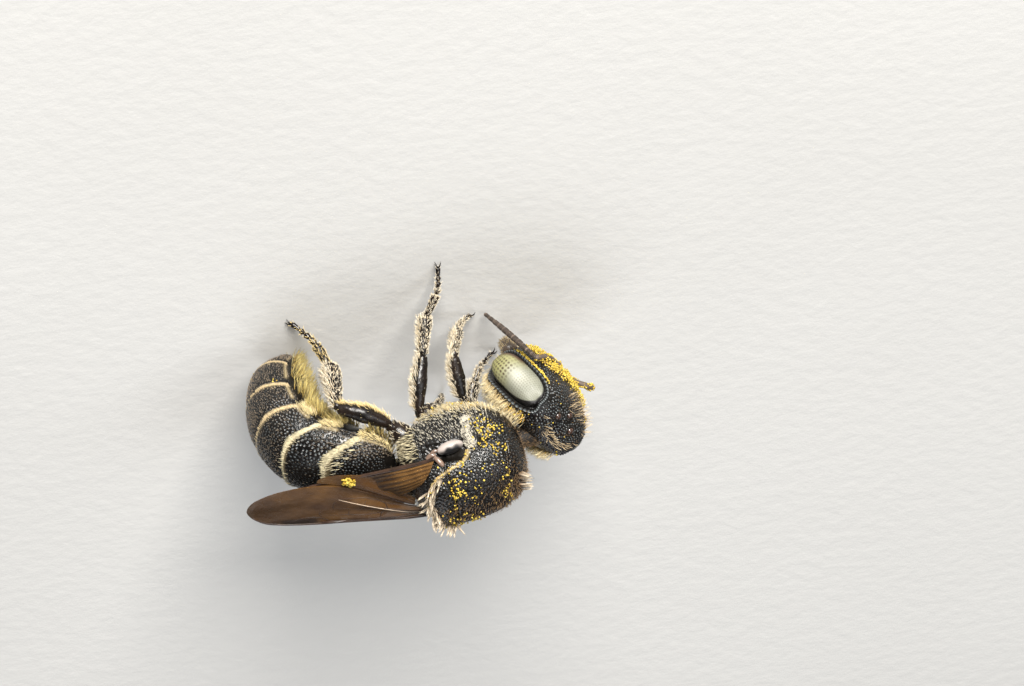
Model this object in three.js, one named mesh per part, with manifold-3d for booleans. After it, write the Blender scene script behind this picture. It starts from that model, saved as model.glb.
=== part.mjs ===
// A life-size female small resin bee (Heriades), standing with its abdomen curled under it, its head
// turned a little to its left and its wings folded back. Millimetres, +Z up, +X towards the head,
// +Y the bee's left, feet on z = 0. Names ending in _left and _right are the bee's own sides.
import * as THREE from 'three';
import { mergeVertices } from 'three/addons/utils/BufferGeometryUtils.js';
import Module from 'manifold-3d';

const wasm = await Module();
wasm.setup();

// ---------------------------------------------------------------- driving dimensions
const GAP = 0.02;              // clearance between neighbouring plates and segments
const LIMB_RADIUS = 0.25;      // legs and feelers are thickened to this, so none is under 0.5 mm
const FAR = 6;                 // reach of the cutting blocks, beyond every part of the bee

// The head is built in a frame of its own: +X out of the face, +Y to the left, +Z to the crown.
const HEAD_CENTRE = [2.20, 0, 1.70];
const HEAD_TURN = [-8, 30, 22].map(THREE.MathUtils.degToRad);   // lean, nod and turn

// Head sections from the crown down to the mouth: height, back, front, half width.
const HEAD_SECTIONS = [
  [1.00, -0.26, 0.00, 0.25],
  [0.95, -0.42, 0.15, 0.51],
  [0.86, -0.54, 0.31, 0.70],
  [0.65, -0.67, 0.47, 0.85],
  [0.30, -0.77, 0.60, 0.92],
  [-0.05, -0.80, 0.65, 0.94],
  [-0.40, -0.77, 0.67, 0.90],
  [-0.68, -0.64, 0.66, 0.81],
  [-0.88, -0.42, 0.62, 0.66],
  [-1.01, -0.14, 0.55, 0.47],
  [-1.07, 0.06, 0.44, 0.28],
];
const HEAD_RING = { count: 20, fullness: 0.78, level: 0.46 };
const EYE_CENTRE = [-0.12, 0.74, 0.00];
const EYE_RADII = [0.33, 0.32, 0.77];
const MANDIBLE = [[0.22, 0.56, -0.82], [0.24, 0.48, -1.16], [0.10, 0.18, -1.46]];
// Each antenna: its socket, the middle of the scape, the elbow, the middle of the flagellum, its tip.
const ANTENNAE = {
  left: [
    [0.80, 0.22, -0.10], [0.80, 0.60, -0.08], [0.58, 1.00, -0.04],
    [0.46, 1.18, -0.62], [0.30, 1.22, -1.14],
  ],
  right: [
    [0.80, -0.22, -0.10], [0.88, -0.56, -0.20], [0.82, -0.90, -0.30],
    [0.64, -1.08, -0.90], [0.36, -0.96, -1.40],
  ],
};

// Thorax sections from the neck back to the waist: top x, top z, bottom x, bottom z, half width.
const THORAX_SECTIONS = [
  [1.76, 2.86, 1.71, 2.58, 0.16],
  [1.78, 3.12, 1.63, 2.36, 0.46],
  [1.72, 3.33, 1.50, 2.18, 0.70],
  [1.56, 3.55, 1.33, 2.02, 0.86],
  [1.29, 3.73, 1.11, 1.89, 0.96],
  [0.91, 3.86, 0.80, 1.82, 1.02],
  [0.50, 3.93, 0.45, 1.80, 1.04],
  [0.14, 3.94, 0.10, 1.88, 1.01],
  [-0.10, 3.83, -0.15, 2.02, 0.94],
  [-0.24, 3.56, -0.30, 2.15, 0.84],
  [-0.37, 3.26, -0.42, 2.26, 0.72],
  [-0.48, 2.98, -0.52, 2.34, 0.54],
  [-0.55, 2.78, -0.57, 2.42, 0.30],
];
const THORAX_RING = { count: 24, fullness: 0.88, level: 0.50 };
const COLLAR_X = 1.44;         // suture behind the pronotum
const SCUTELLUM_X = 0.40;      // suture in front of the scutellum
const PROPODEUM_X = -0.12;     // suture in front of the propodeum
const PLEURA_Z = 3.00;         // suture between the back plates and the side plates
const NECK = [[1.48, 0, 2.56], [1.98, -0.04, 2.40]];
const NECK_RADIUS = 0.28;

// Abdomen sections: back x, back z, belly x, belly z, half width. The first is the waist, and the
// plates end at the sections that PLATE_EDGES names.
const ABDOMEN_SECTIONS = [
  [-0.60, 2.70, -0.60, 2.46, 0.16],
  [-0.78, 2.83, -0.70, 2.24, 0.50],
  [-1.20, 2.92, -0.86, 2.06, 0.76],
  [-1.95, 2.87, -1.12, 1.95, 0.90],
  [-2.66, 2.54, -1.58, 1.76, 0.96],
  [-3.10, 1.92, -1.82, 1.40, 0.94],
  [-3.22, 1.20, -1.96, 1.00, 0.85],
  [-3.02, 0.48, -2.04, 0.52, 0.64],
  [-2.50, 0.08, -2.12, 0.22, 0.26],
];
const ABDOMEN_RING = { count: 22, fullness: 0.92, level: 0.46 };
const PLATE_EDGES = [0, 3, 4, 5, 6, 7, 8];

// Wing outlines as [distance along the leading edge, distance behind it], hinge first.
const FOREWING = [
  [0, 0], [1.2, 0.02], [2.4, 0.00], [3.1, 0.04], [3.6, 0.19], [3.85, 0.44], [3.75, 0.78],
  [3.3, 1.08], [2.6, 1.30], [2.0, 1.28], [1.3, 0.96], [0.6, 0.46], [0.1, 0.20],
];
const HINDWING = [
  [0.62, 0.50], [1.3, 0.98], [1.98, 1.30], [2.35, 1.34], [2.30, 1.50], [1.95, 1.62],
  [1.4, 1.50], [0.9, 1.12], [0.50, 0.66],
];
const WING_HINGE = [0.16, 0.95, 3.265];
// Each side's wings: a point far along the leading edge, as if on the left side, and a stretch along it.
const WING_AIMS = {
  left: { end: [-2.757, -0.01, 2.963], stretch: 1 },
  right: { end: [-2.757, 1.06, 2.963], stretch: 0.90 },
};
const WING_THICKNESS = 0.46;
const WING_UNDERSIDE = -0.13;                  // underside of the lower wing, from the membrane
const WING_RISE = [0.1, 0.8];                   // where along the upper wings the root ends
const TEGULA = { at: [0.44, 1.00, 3.14], radii: [0.27, 0.13, 0.17] };

// Legs of the left side, each segment as the curve of its middle, from hip to foot.
const LEG_SEGMENTS = ['coxa', 'femur', 'tibia', 'tarsus'];
const LEGS = {
  front: [
    [[0.92, 0.34, 2.02], [0.76, 0.54, 1.82]],
    [[0.76, 0.54, 1.82], [0.73, 0.84, 1.50], [0.72, 1.10, 1.25]],
    [[0.72, 1.10, 1.25], [0.78, 0.98, 0.90], [0.84, 0.82, 0.56]],
    [[0.84, 0.82, 0.56], [0.92, 0.70, 0.30], [1.10, 0.56, 0.17]],
  ],
  middle: [
    [[0.32, 0.42, 2.00], [-0.06, 0.70, 2.07]],
    [[-0.06, 0.70, 2.07], [0.04, 1.04, 1.66], [0.17, 1.28, 1.25]],
    [[0.17, 1.28, 1.25], [0.24, 1.48, 0.92], [0.31, 1.64, 0.68]],
    [[0.31, 1.64, 0.68], [0.58, 1.94, 0.36], [0.64, 2.26, 0.17]],
  ],
  hind: [
    [[-0.30, 0.44, 2.50], [-0.60, 0.70, 2.26]],
    [[-0.60, 0.70, 2.26], [-1.05, 0.98, 2.14], [-1.50, 1.08, 2.00]],
    [[-1.50, 1.08, 2.00], [-1.52, 0.98, 1.45], [-1.55, 0.86, 0.96]],
    [[-1.55, 0.86, 0.96], [-1.80, 0.98, 0.42], [-2.12, 1.10, 0.17]],
  ],
};
// How far the feet of the right side stand from the mirror image of the left ones.
const RIGHT_FOOT_SHIFT = { front: [0.30, 0.24], middle: [-0.30, -0.30], hind: [-0.16, 0.16] };

// Colour and finish of each kind of surface.
const BLACK_SHELL = { color: 0x17140f, roughness: 0.42 };
const GLOSSY_BLACK = { color: 0x0b0b0e, roughness: 0.18 };
const LEG_BLACK = { color: 0x1c1713, roughness: 0.36 };
const JAW_BROWN = { color: 0x3d2a20, roughness: 0.34 };
const EYE_GREEN = { color: 0xaab29a, roughness: 0.26 };
const WING_SMOKE = { color: 0x5a4328, roughness: 0.22 };

// ---------------------------------------------------------------- shape tools
// A closed body through rings of points, ended by a fan of triangles at each end.
function closedLoft(rings) {
  const count = rings[0].length;
  const vertices = rings.flat().flatMap((p) => p.toArray());
  const triangles = [];
  const first = rings.length * count;
  const last = first + 1;
  [rings[0], rings[rings.length - 1]].forEach((ring) => vertices.push(...middleOf(ring).toArray()));
  for (let j = 0; j < count; j += 1) {
    const next = (j + 1) % count;
    for (let a = 0; a < first - count; a += count) {
      triangles.push(a + j, a + next, a + count + j, a + next, a + count + next, a + count + j);
    }
    triangles.push(first, next, j);
    triangles.push(last, first - count + j, first - count + next);
  }
  const geometry = new THREE.BufferGeometry();
  geometry.setAttribute('position', new THREE.Float32BufferAttribute(vertices, 3));
  geometry.setIndex(triangles);
  return geometry;
}

function middleOf(ring) {
  return ring.reduce((sum, p) => sum.add(p), new THREE.Vector3()).divideScalar(ring.length);
}

// The row at place t of a table, with Catmull-Rom curves between the table's rows.
function rowAt(rows, t) {
  const i = Math.min(Math.floor(t), rows.length - 2);
  const f = t - i;
  const row = (k) => rows[Math.max(0, Math.min(rows.length - 1, k))];
  return rows[0].map((_, n) => {
    const [a, b, c, d] = [row(i - 1)[n], row(i)[n], row(i + 1)[n], row(i + 2)[n]];
    const bend = (2 * a - 5 * b + 4 * c - d) * f * f + (3 * b - a - 3 * c + d) * f ** 3;
    return 0.5 * (2 * b + (c - a) * f + bend);
  });
}

// A rounded ring of `count` points between two points of the middle plane. `level` is how far up it
// is widest, and a smaller `fullness` makes it squarer.
function bodyRing(low, high, half, { count, fullness, level, grow = 0 }) {
  const bend = (v) => Math.sign(v) * Math.abs(v) ** fullness;
  const up = high.clone().sub(low);
  const tall = up.length();
  up.normalize();
  const middle = low.clone().addScaledVector(up, tall * level);
  return Array.from({ length: count }, (_, j) => {
    const angle = (2 * Math.PI * j) / count;
    const reach = (Math.cos(angle) > 0 ? 1 - level : level) * tall + grow;
    const point = middle.clone().addScaledVector(up, bend(Math.cos(angle)) * reach);
    point.y += bend(Math.sin(angle)) * (half + grow);
    return point;
  });
}

// A round limb along a curve, with domed ends; `radius` is a function of the place from 0 to 1.
const DOME = { reach: 0.7, size: 0.7 };

function limb(points, radius, steps, around = 8) {
  const curve = new THREE.CatmullRomCurve3(points.map((p) => new THREE.Vector3(...p)));
  const frames = curve.computeFrenetFrames(steps, false);
  const ring = (i, size, ahead) => Array.from({ length: around }, (_, j) => {
    const angle = (2 * Math.PI * j) / around;
    const point = curve.getPointAt(i / steps).addScaledVector(frames.tangents[i], ahead);
    point.addScaledVector(frames.normals[i], size * Math.cos(angle));
    return point.addScaledVector(frames.binormals[i], size * Math.sin(angle));
  });
  const rings = [ring(0, radius(0) * DOME.size, -radius(0) * DOME.reach)];
  for (let i = 0; i <= steps; i += 1) rings.push(ring(i, radius(i / steps), 0));
  rings.push(ring(steps, radius(1) * DOME.size, radius(1) * DOME.reach));
  return solid(closedLoft(rings));
}

function ellipsoid([rx, ry, rz], [x, y, z], grow = 0, around = 14, rows = 9) {
  const sphere = new THREE.SphereGeometry(1, around, rows);
  return solid(sphere.scale(rx + grow, ry + grow, rz + grow).translate(x, y, z));
}

// ---------------------------------------------------------------- cutting and joining
function solid(geometry) {
  const bare = geometry.clone();
  bare.deleteAttribute('normal');
  bare.deleteAttribute('uv');
  const merged = mergeVertices(bare, 1e-5);
  return new wasm.Manifold(new wasm.Mesh({
    numProp: 3,
    vertProperties: new Float32Array(merged.attributes.position.array),
    triVerts: new Uint32Array(merged.index.array),
  }));
}

function block([x0, x1], [y0, y1], [z0, z1]) {
  const geometry = new THREE.BoxGeometry(x1 - x0, y1 - y0, z1 - z0);
  return solid(geometry.translate((x0 + x1) / 2, (y0 + y1) / 2, (z0 + z1) / 2));
}

// The largest body that is left of a solid once the others are taken away from it.
function carve(body, others) {
  const pieces = others.reduce((rest, other) => rest.subtract(other), body).decompose();
  return pieces.reduce((best, piece) => (piece.volume() > best.volume() ? piece : best));
}

const mirrored = (body) => body.mirror([0, 1, 0]);

// The segments of a leg or feeler, each a limb along its own points, parted by flat mitred cuts.
function chain(segments, steps) {
  const vectors = segments.map((points) => points.map((p) => new THREE.Vector3(...p)));
  const pieces = segments.map((points) => (
    limb(points, () => LIMB_RADIUS, Math.min(steps, 2 * points.length - 3))));
  for (let i = 0; i + 1 < segments.length; i += 1) {
    const [before, joint] = vectors[i].slice(-2);
    const across = joint.clone().sub(before).normalize();
    across.add(vectors[i + 1][1].clone().sub(joint).normalize()).normalize();
    const offset = across.dot(joint);
    pieces[i] = pieces[i].trimByPlane(across.clone().negate().toArray(), GAP / 2 - offset);
    pieces[i + 1] = pieces[i + 1].trimByPlane(across.toArray(), GAP / 2 + offset);
  }
  return pieces;
}

// ---------------------------------------------------------------- the scene
const bee = new THREE.Group();
const headGroup = new THREE.Group();
headGroup.position.set(...HEAD_CENTRE);
headGroup.rotation.set(...HEAD_TURN, 'ZXY');
bee.add(headGroup);

function add(name, body, finish, group = bee) {
  const { vertProperties, triVerts } = body.getMesh();
  const geometry = new THREE.BufferGeometry();
  geometry.setAttribute('position', new THREE.Float32BufferAttribute(vertProperties, 3));
  geometry.setIndex(Array.from(triVerts));
  const mesh = new THREE.Mesh(geometry, new THREE.MeshStandardMaterial({ ...finish, metalness: 0 }));
  mesh.name = name;
  group.add(mesh);
}

// ---------------------------------------------------------------- head
function headShell(grow) {
  const rows = 12;
  const rings = [];
  for (let i = 0; i <= rows; i += 1) {
    const [height, back, front, half] = rowAt(HEAD_SECTIONS, (i / rows) * (HEAD_SECTIONS.length - 1));
    const [low, high] = [new THREE.Vector3(back, 0, height), new THREE.Vector3(front, 0, height)];
    rings.push(bodyRing(low, high, half, { ...HEAD_RING, grow }));
  }
  return solid(closedLoft(rings.reverse()));
}

const leftSocket = ellipsoid(EYE_RADII, EYE_CENTRE, GAP);
const wholeHead = headShell(0);
const grownHead = headShell(GAP).add(leftSocket).add(mirrored(leftSocket));
const leftEye = ellipsoid(EYE_RADII, EYE_CENTRE);
add('head', carve(wholeHead, [leftSocket, mirrored(leftSocket)]), BLACK_SHELL, headGroup);
add('eye_left', leftEye, EYE_GREEN, headGroup);
add('eye_right', mirrored(leftEye), EYE_GREEN, headGroup);

function jaw() {
  return limb(MANDIBLE, (u) => 0.24 - 0.09 * u, 3);
}
const leftJaw = carve(jaw(), [grownHead, block([-FAR, FAR], [-FAR, GAP / 2], [-FAR, FAR])]);
add('mandible_left', leftJaw, JAW_BROWN, headGroup);
add('mandible_right', mirrored(leftJaw), JAW_BROWN, headGroup);

Object.entries(ANTENNAE).forEach(([side, joints]) => {
  const [scape, flagellum] = chain([joints.slice(0, 3), joints.slice(2)], 3);
  add(`antenna_scape_${side}`, carve(scape, [grownHead]), BLACK_SHELL, headGroup);
  add(`antenna_flagellum_${side}`, carve(flagellum, [grownHead]), BLACK_SHELL, headGroup);
});

headGroup.updateMatrix();
const headInPlace = grownHead.transform(headGroup.matrix.elements);

// ---------------------------------------------------------------- thorax
function thoraxShell(grow) {
  const rows = 18;
  const rings = [];
  for (let i = 0; i <= rows; i += 1) {
    const t = (i / rows) * (THORAX_SECTIONS.length - 1);
    const [topX, topZ, bottomX, bottomZ, half] = rowAt(THORAX_SECTIONS, t);
    const [low, high] = [new THREE.Vector3(bottomX, 0, bottomZ), new THREE.Vector3(topX, 0, topZ)];
    rings.push(bodyRing(low, high, half, { ...THORAX_RING, grow }));
  }
  return solid(closedLoft(rings));
}

const wholeThorax = thoraxShell(0);
const grownThorax = thoraxShell(GAP);
const everywhere = [-FAR, FAR];
const slit = GAP / 2;

function thoraxPart(xs, ys = everywhere, zs = everywhere) {
  return carve(wholeThorax.intersect(block(xs, ys, zs)), [headInPlace]);
}

const collar = wholeThorax.add(limb(NECK, () => NECK_RADIUS, 2, 12));
const behindCollar = block([-FAR, COLLAR_X + slit], everywhere, everywhere);
add('pronotum', carve(collar, [headInPlace, behindCollar]), BLACK_SHELL);
const back = [PLEURA_Z + slit, FAR];
const flank = [PROPODEUM_X + slit, COLLAR_X - slit];
add('scutum', thoraxPart([SCUTELLUM_X + slit, COLLAR_X - slit], everywhere, back), BLACK_SHELL);
add('scutellum', thoraxPart([PROPODEUM_X + slit, SCUTELLUM_X - slit], everywhere, back), BLACK_SHELL);
add('mesopleuron_left', thoraxPart(flank, [slit, FAR], [-FAR, PLEURA_Z - slit]), BLACK_SHELL);
add('mesopleuron_right', thoraxPart(flank, [-FAR, -slit], [-FAR, PLEURA_Z - slit]), BLACK_SHELL);
add('propodeum', thoraxPart([-FAR, PROPODEUM_X - slit]), BLACK_SHELL);

const tegula = carve(ellipsoid(TEGULA.radii, TEGULA.at, 0, 10, 5), [grownThorax]);
const grownTegula = ellipsoid(TEGULA.radii, TEGULA.at, GAP, 10, 5);
add('tegula_left', tegula, GLOSSY_BLACK);
add('tegula_right', mirrored(tegula), GLOSSY_BLACK);

// ---------------------------------------------------------------- abdomen
function abdomenPlate(from, to, grow = 0) {
  const rows = Math.max(3, Math.round((to - from) * 2));
  const rings = [];
  for (let i = 0; i <= rows; i += 1) {
    const t = from + ((to - from) * i) / rows;
    const [backX, backZ, bellyX, bellyZ, half] = rowAt(ABDOMEN_SECTIONS, t);
    const [low, high] = [new THREE.Vector3(bellyX, 0, bellyZ), new THREE.Vector3(backX, 0, backZ)];
    rings.push(bodyRing(low, high, half, { ...ABDOMEN_RING, grow }));
  }
  return solid(closedLoft(rings));
}

const PLATE_SLIT = 0.03;       // as a share of a section step
for (let i = 0; i + 1 < PLATE_EDGES.length; i += 1) {
  const plate = abdomenPlate(PLATE_EDGES[i], PLATE_EDGES[i + 1] - PLATE_SLIT);
  add(`abdomen_${i + 1}`, carve(plate, [grownThorax]), BLACK_SHELL);
}
const grownAbdomen = abdomenPlate(0, ABDOMEN_SECTIONS.length - 1, GAP);

// ---------------------------------------------------------------- wings
// A wing as a slab; `lift` raises all but its root, so that one wing can lie on another.
function wing(outline, lift, { end, stretch }) {
  const [root, ...edge] = outline.map(([along, behind]) => new THREE.Vector2(along * stretch, behind));
  const shape = new THREE.Shape();
  shape.moveTo(root.x, root.y);
  shape.splineThru(edge);
  const slab = new THREE.ExtrudeGeometry(shape, {
    depth: WING_THICKNESS, bevelEnabled: false, curveSegments: 2,
  });
  const places = slab.attributes.position;
  for (let i = 0; i < places.count; i += 1) {
    const rise = THREE.MathUtils.smoothstep(places.getX(i), ...WING_RISE) * lift;
    places.setZ(i, places.getZ(i) + WING_UNDERSIDE + rise);
  }
  const hinge = new THREE.Vector3(...WING_HINGE);
  const along = new THREE.Vector3(...end).sub(hinge).normalize();
  const behind = new THREE.Vector3(-along.y, along.x, 0).normalize();
  const up = along.clone().cross(behind);
  slab.applyMatrix4(new THREE.Matrix4().makeBasis(along, behind, up).setPosition(hinge));
  return solid(slab);
}

// The left wings lie on the abdomen, and the right ones lie partly on them.
const OVER = WING_THICKNESS + GAP;
const beneath = [grownThorax, grownTegula, mirrored(grownTegula), grownAbdomen];
const lowerWings = [FOREWING, HINDWING].map((outline) => carve(wing(outline, 0, WING_AIMS.left), beneath));
const grownWings = lowerWings.map((lower) => lower.add(lower.translate([0, 0, GAP])));
const upperWings = [FOREWING, HINDWING].map((outline) => (
  carve(mirrored(wing(outline, OVER, WING_AIMS.right)), [...beneath, ...grownWings])));
['forewing', 'hindwing'].forEach((name, i) => {
  add(`${name}_left`, lowerWings[i], WING_SMOKE);
  add(`${name}_right`, upperWings[i], WING_SMOKE);
});

// ---------------------------------------------------------------- legs
const floor = block([-FAR, FAR], [-FAR, FAR], [-FAR, 0]);
const grownBody = [headInPlace, grownThorax, grownAbdomen];

// Moves a leg's points by a share that grows from nothing at the hip to the whole at the foot.
function stepFoot(segments, [dx, dy]) {
  return segments.map((points, i) => points.map(([x, y, z], k) => {
    const share = ((i + k / (points.length - 1)) / segments.length) ** 2;
    return [x + dx * share, -(y + dy * share), z];
  }));
}

function addLeg(name, side, segments) {
  chain(segments, 3).forEach((piece, i) => {
    add(`${name}_${LEG_SEGMENTS[i]}_${side}`, carve(piece, [...grownBody, floor]), LEG_BLACK);
  });
}

Object.entries(LEGS).forEach(([name, segments]) => {
  addLeg(name, 'left', segments);
  addLeg(name, 'right', stepFoot(segments, RIGHT_FOOT_SHIFT[name]));
});

export default bee;
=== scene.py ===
"""A female small resin bee, life size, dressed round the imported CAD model.

Lengths in this script are millimetres in the part's own frame (+X towards the head, +Y the bee's
left, +Z up, feet on z = 0); MM turns them into Blender's metres.
"""
import math

import bpy
import numpy as np
from mathutils import Matrix, Vector
from mathutils.kdtree import KDTree


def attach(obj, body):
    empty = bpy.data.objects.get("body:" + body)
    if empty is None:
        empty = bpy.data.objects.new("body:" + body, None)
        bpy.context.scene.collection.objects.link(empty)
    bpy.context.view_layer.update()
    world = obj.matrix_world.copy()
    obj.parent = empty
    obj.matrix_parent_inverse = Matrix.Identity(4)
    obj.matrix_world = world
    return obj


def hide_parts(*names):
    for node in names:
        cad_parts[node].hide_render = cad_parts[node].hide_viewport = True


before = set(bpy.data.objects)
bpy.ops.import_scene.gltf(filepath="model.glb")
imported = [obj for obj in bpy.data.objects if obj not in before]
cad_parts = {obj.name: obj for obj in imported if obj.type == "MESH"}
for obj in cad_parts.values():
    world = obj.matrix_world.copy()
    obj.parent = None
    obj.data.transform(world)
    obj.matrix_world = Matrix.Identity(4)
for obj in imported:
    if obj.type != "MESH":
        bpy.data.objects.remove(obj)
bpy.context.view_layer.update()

MM = 0.001
SIDES = {"left": 1, "right": -1}

# ---------------------------------------------------------------- driving dimensions
HEAD_CENTRE = np.array([2.20, 0.0, 1.70])
HEAD_TURN = {"z": 22.0, "x": -8.0, "y": 30.0}     # turn, lean and nod, in degrees
# Head sections from the crown to the mouth, in the head's own frame: height, back, front, half width.
HEAD_SECTIONS = [
    [0.94, -0.22, -0.06, 0.03],
    [0.935, -0.30, 0.00, 0.26],
    [0.90, -0.42, 0.09, 0.50],
    [0.82, -0.52, 0.24, 0.68],
    [0.63, -0.64, 0.40, 0.83],
    [0.30, -0.74, 0.54, 0.90],
    [-0.05, -0.77, 0.59, 0.91],
    [-0.40, -0.74, 0.57, 0.87],
    [-0.68, -0.61, 0.52, 0.78],
    [-0.88, -0.39, 0.45, 0.62],
    [-0.99, -0.14, 0.38, 0.42],
    [-1.04, 0.04, 0.28, 0.22],
    [-1.05, 0.12, 0.20, 0.03],
]
LENS_SPACING = 0.030           # between the eyes' lenses
EYE_BEADS = 58                 # beads on the ridge round each eye
# In the head's own frame: the left eye, the three simple eyes [x, y] on the crown, and the left
# feeler's socket.
EYE_CENTRE = np.array([-0.12, 0.74, 0.00])
EYE_RADII = np.array([0.33, 0.32, 0.77])
EYE_FULLNESS = 2.8             # 2 would give the eye an oval outline; more makes its sides straighter
OCELLI = [[0.14, 0.0], [-0.04, 0.24], [-0.04, -0.24]]
OCELLUS_RADIUS = 0.066
SOCKET = [0.62, 0.20, -0.06]

# Thorax sections from the neck to the waist: top x, top z, bottom x, bottom z, half width.
THORAX_SECTIONS = [
    [1.73, 2.76, 1.71, 2.66, 0.03],
    [1.75, 2.86, 1.70, 2.58, 0.15],
    [1.76, 3.10, 1.62, 2.38, 0.44],
    [1.70, 3.31, 1.49, 2.20, 0.68],
    [1.54, 3.52, 1.32, 2.04, 0.84],
    [1.27, 3.70, 1.10, 1.91, 0.94],
    [0.90, 3.83, 0.80, 1.85, 1.00],
    [0.50, 3.90, 0.45, 1.83, 1.02],
    [0.14, 3.91, 0.10, 1.91, 0.99],
    [-0.08, 3.80, -0.13, 2.05, 0.92],
    [-0.22, 3.54, -0.28, 2.17, 0.82],
    [-0.35, 3.24, -0.40, 2.28, 0.70],
    [-0.46, 2.97, -0.50, 2.35, 0.52],
    [-0.53, 2.78, -0.55, 2.43, 0.28],
    [-0.54, 2.64, -0.55, 2.56, 0.03],
]
COLLAR_X = 1.44                # the pronotum is in front of this
SCUTELLUM_X = 0.40             # where the scutum ends and the scutellum begins
PROPODEUM_X = -0.12            # the propodeum is behind this
PLEURA_Z = 3.00                # the side plates are below this

# Abdomen sections: back x, back z, belly x, belly z, half width, from the waist to the tip.
ABDOMEN_SECTIONS = [
    [-0.60, 2.70, -0.60, 2.46, 0.16],
    [-0.78, 2.83, -0.70, 2.24, 0.50],
    [-1.20, 2.92, -0.86, 2.06, 0.76],
    [-1.95, 2.87, -1.12, 1.95, 0.90],
    [-2.66, 2.54, -1.58, 1.76, 0.96],
    [-3.10, 1.92, -1.82, 1.40, 0.94],
    [-3.22, 1.20, -1.96, 1.00, 0.85],
    [-3.02, 0.48, -2.04, 0.52, 0.64],
    [-2.50, 0.08, -2.12, 0.22, 0.26],
]
PLATE_EDGES = [0, 3, 4, 5, 6, 7, 8]     # the sections at which the six plates begin and end


# ---------------------------------------------------------------- small tools
def unit(vectors):
    length = np.linalg.norm(vectors, axis=-1, keepdims=True)
    return vectors / np.maximum(length, 1e-12)


def smooth(value, start, end):
    """0 before start, 1 after end, and a soft rise between them."""
    t = np.clip((value - start) / (end - start), 0, 1)
    return t * t * (3 - 2 * t)


def bell(value, middle, width):
    return np.exp(-(((value - middle) / width) ** 2))


def rows_at(rows, t):
    """The table's rows at places t, with Catmull-Rom curves between them."""
    rows = np.asarray(rows, float)
    t = np.clip(np.asarray(t, float), 0, len(rows) - 1)
    i = np.minimum(t.astype(int), len(rows) - 2)
    f = (t - i)[:, None]
    a, b, c, d = (rows[np.clip(i + k, 0, len(rows) - 1)] for k in (-1, 0, 1, 2))
    bend = (2 * a - 5 * b + 4 * c - d) * f ** 2 + (3 * b - a - 3 * c + d) * f ** 3
    return 0.5 * (2 * b + (c - a) * f + bend)


def curve(points, count):
    """Evenly spaced points on the smooth curve through a few points."""
    dense = rows_at(points, np.linspace(0, len(points) - 1, 40 * len(points)))
    steps = np.linalg.norm(np.diff(dense, axis=0), axis=1)
    run = np.concatenate([[0], np.cumsum(steps)])
    at = np.linspace(0, run[-1], count)
    return np.stack([np.interp(at, run, dense[:, k]) for k in range(dense.shape[1])], axis=1)


def waves(points, size, seed):
    """A cheap smooth noise of about -1 to 1 at points, with features of that size."""
    rng = np.random.default_rng(seed)
    total = np.zeros(points.shape[:-1])
    for _ in range(7):
        way = unit(rng.normal(size=3)) * rng.uniform(0.6, 1.5) * 2 * math.pi / size
        total += np.sin(points @ way + rng.uniform(0, 2 * math.pi))
    return total / 3.5


def distance_to_line(points, line):
    """How far each point is from a curve drawn through a few points."""
    dense = curve(line, 60)
    flat = points.reshape(-1, 3)
    best = np.full(len(flat), np.inf)
    for spot in dense:
        best = np.minimum(best, ((flat - spot) ** 2).sum(1))
    return np.sqrt(best).reshape(points.shape[:-1])


def turn(axis, degrees):
    return np.array(Matrix.Rotation(math.radians(degrees), 3, axis.upper()))


HEAD_AXES = turn("z", HEAD_TURN["z"]) @ turn("x", HEAD_TURN["x"]) @ turn("y", HEAD_TURN["y"])


def from_head(points):
    """Points of the head's own frame, in the part's frame."""
    return np.asarray(points, float) @ HEAD_AXES.T + HEAD_CENTRE


# ---------------------------------------------------------------- skins
class Skin:
    """A closed surface as a grid of points: rows along it and points round each row."""

    def __init__(self, points, tile=(0, 0, 1)):
        self.points = points
        self.tile = tile          # corner and size of its place in the unwrap
        self.marks = {}
        self.measure()

    def measure(self):
        self.along = np.gradient(self.points, axis=0)
        self.around = np.roll(self.points, -1, 1) - np.roll(self.points, 1, 1)
        normal = unit(np.cross(self.around, self.along))
        middle = self.points.mean(axis=1, keepdims=True)
        if (normal * (self.points - middle)).sum() < 0:
            normal = -normal
        self.normal = normal

    def raise_by(self, height):
        self.points = self.points + self.normal * height[..., None]

    def place(self):
        """Each point's place on the skin's unwrap."""
        rows, count = self.points.shape[:2]
        u, v = np.meshgrid(np.arange(count) / count, np.linspace(0, 1, rows))
        corner_u, corner_v, size = self.tile
        return np.stack([corner_u + u * size, corner_v + v * size], axis=-1)

    def moved(self, change):
        """A copy with its points changed, such as its mirror image."""
        other = Skin(change(self.points), self.tile)
        other.marks = dict(self.marks)
        return other


def grid_faces(rows, count):
    row, col = np.meshgrid(np.arange(rows - 1), np.arange(count), indexing="ij")
    a = (row * count + col).ravel()
    b = (row * count + (col + 1) % count).ravel()
    return np.concatenate([np.stack([a, b, b + count], 1), np.stack([a, b + count, a + count], 1)])


def outward(points, faces):
    """The faces, all turned so that the closed mesh has its inside on their back."""
    a, b, c = (points[faces[:, k]] for k in range(3))
    volume = np.einsum("ij,ij->i", a, np.cross(b, c)).sum()
    return faces if volume > 0 else faces[:, ::-1]


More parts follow.
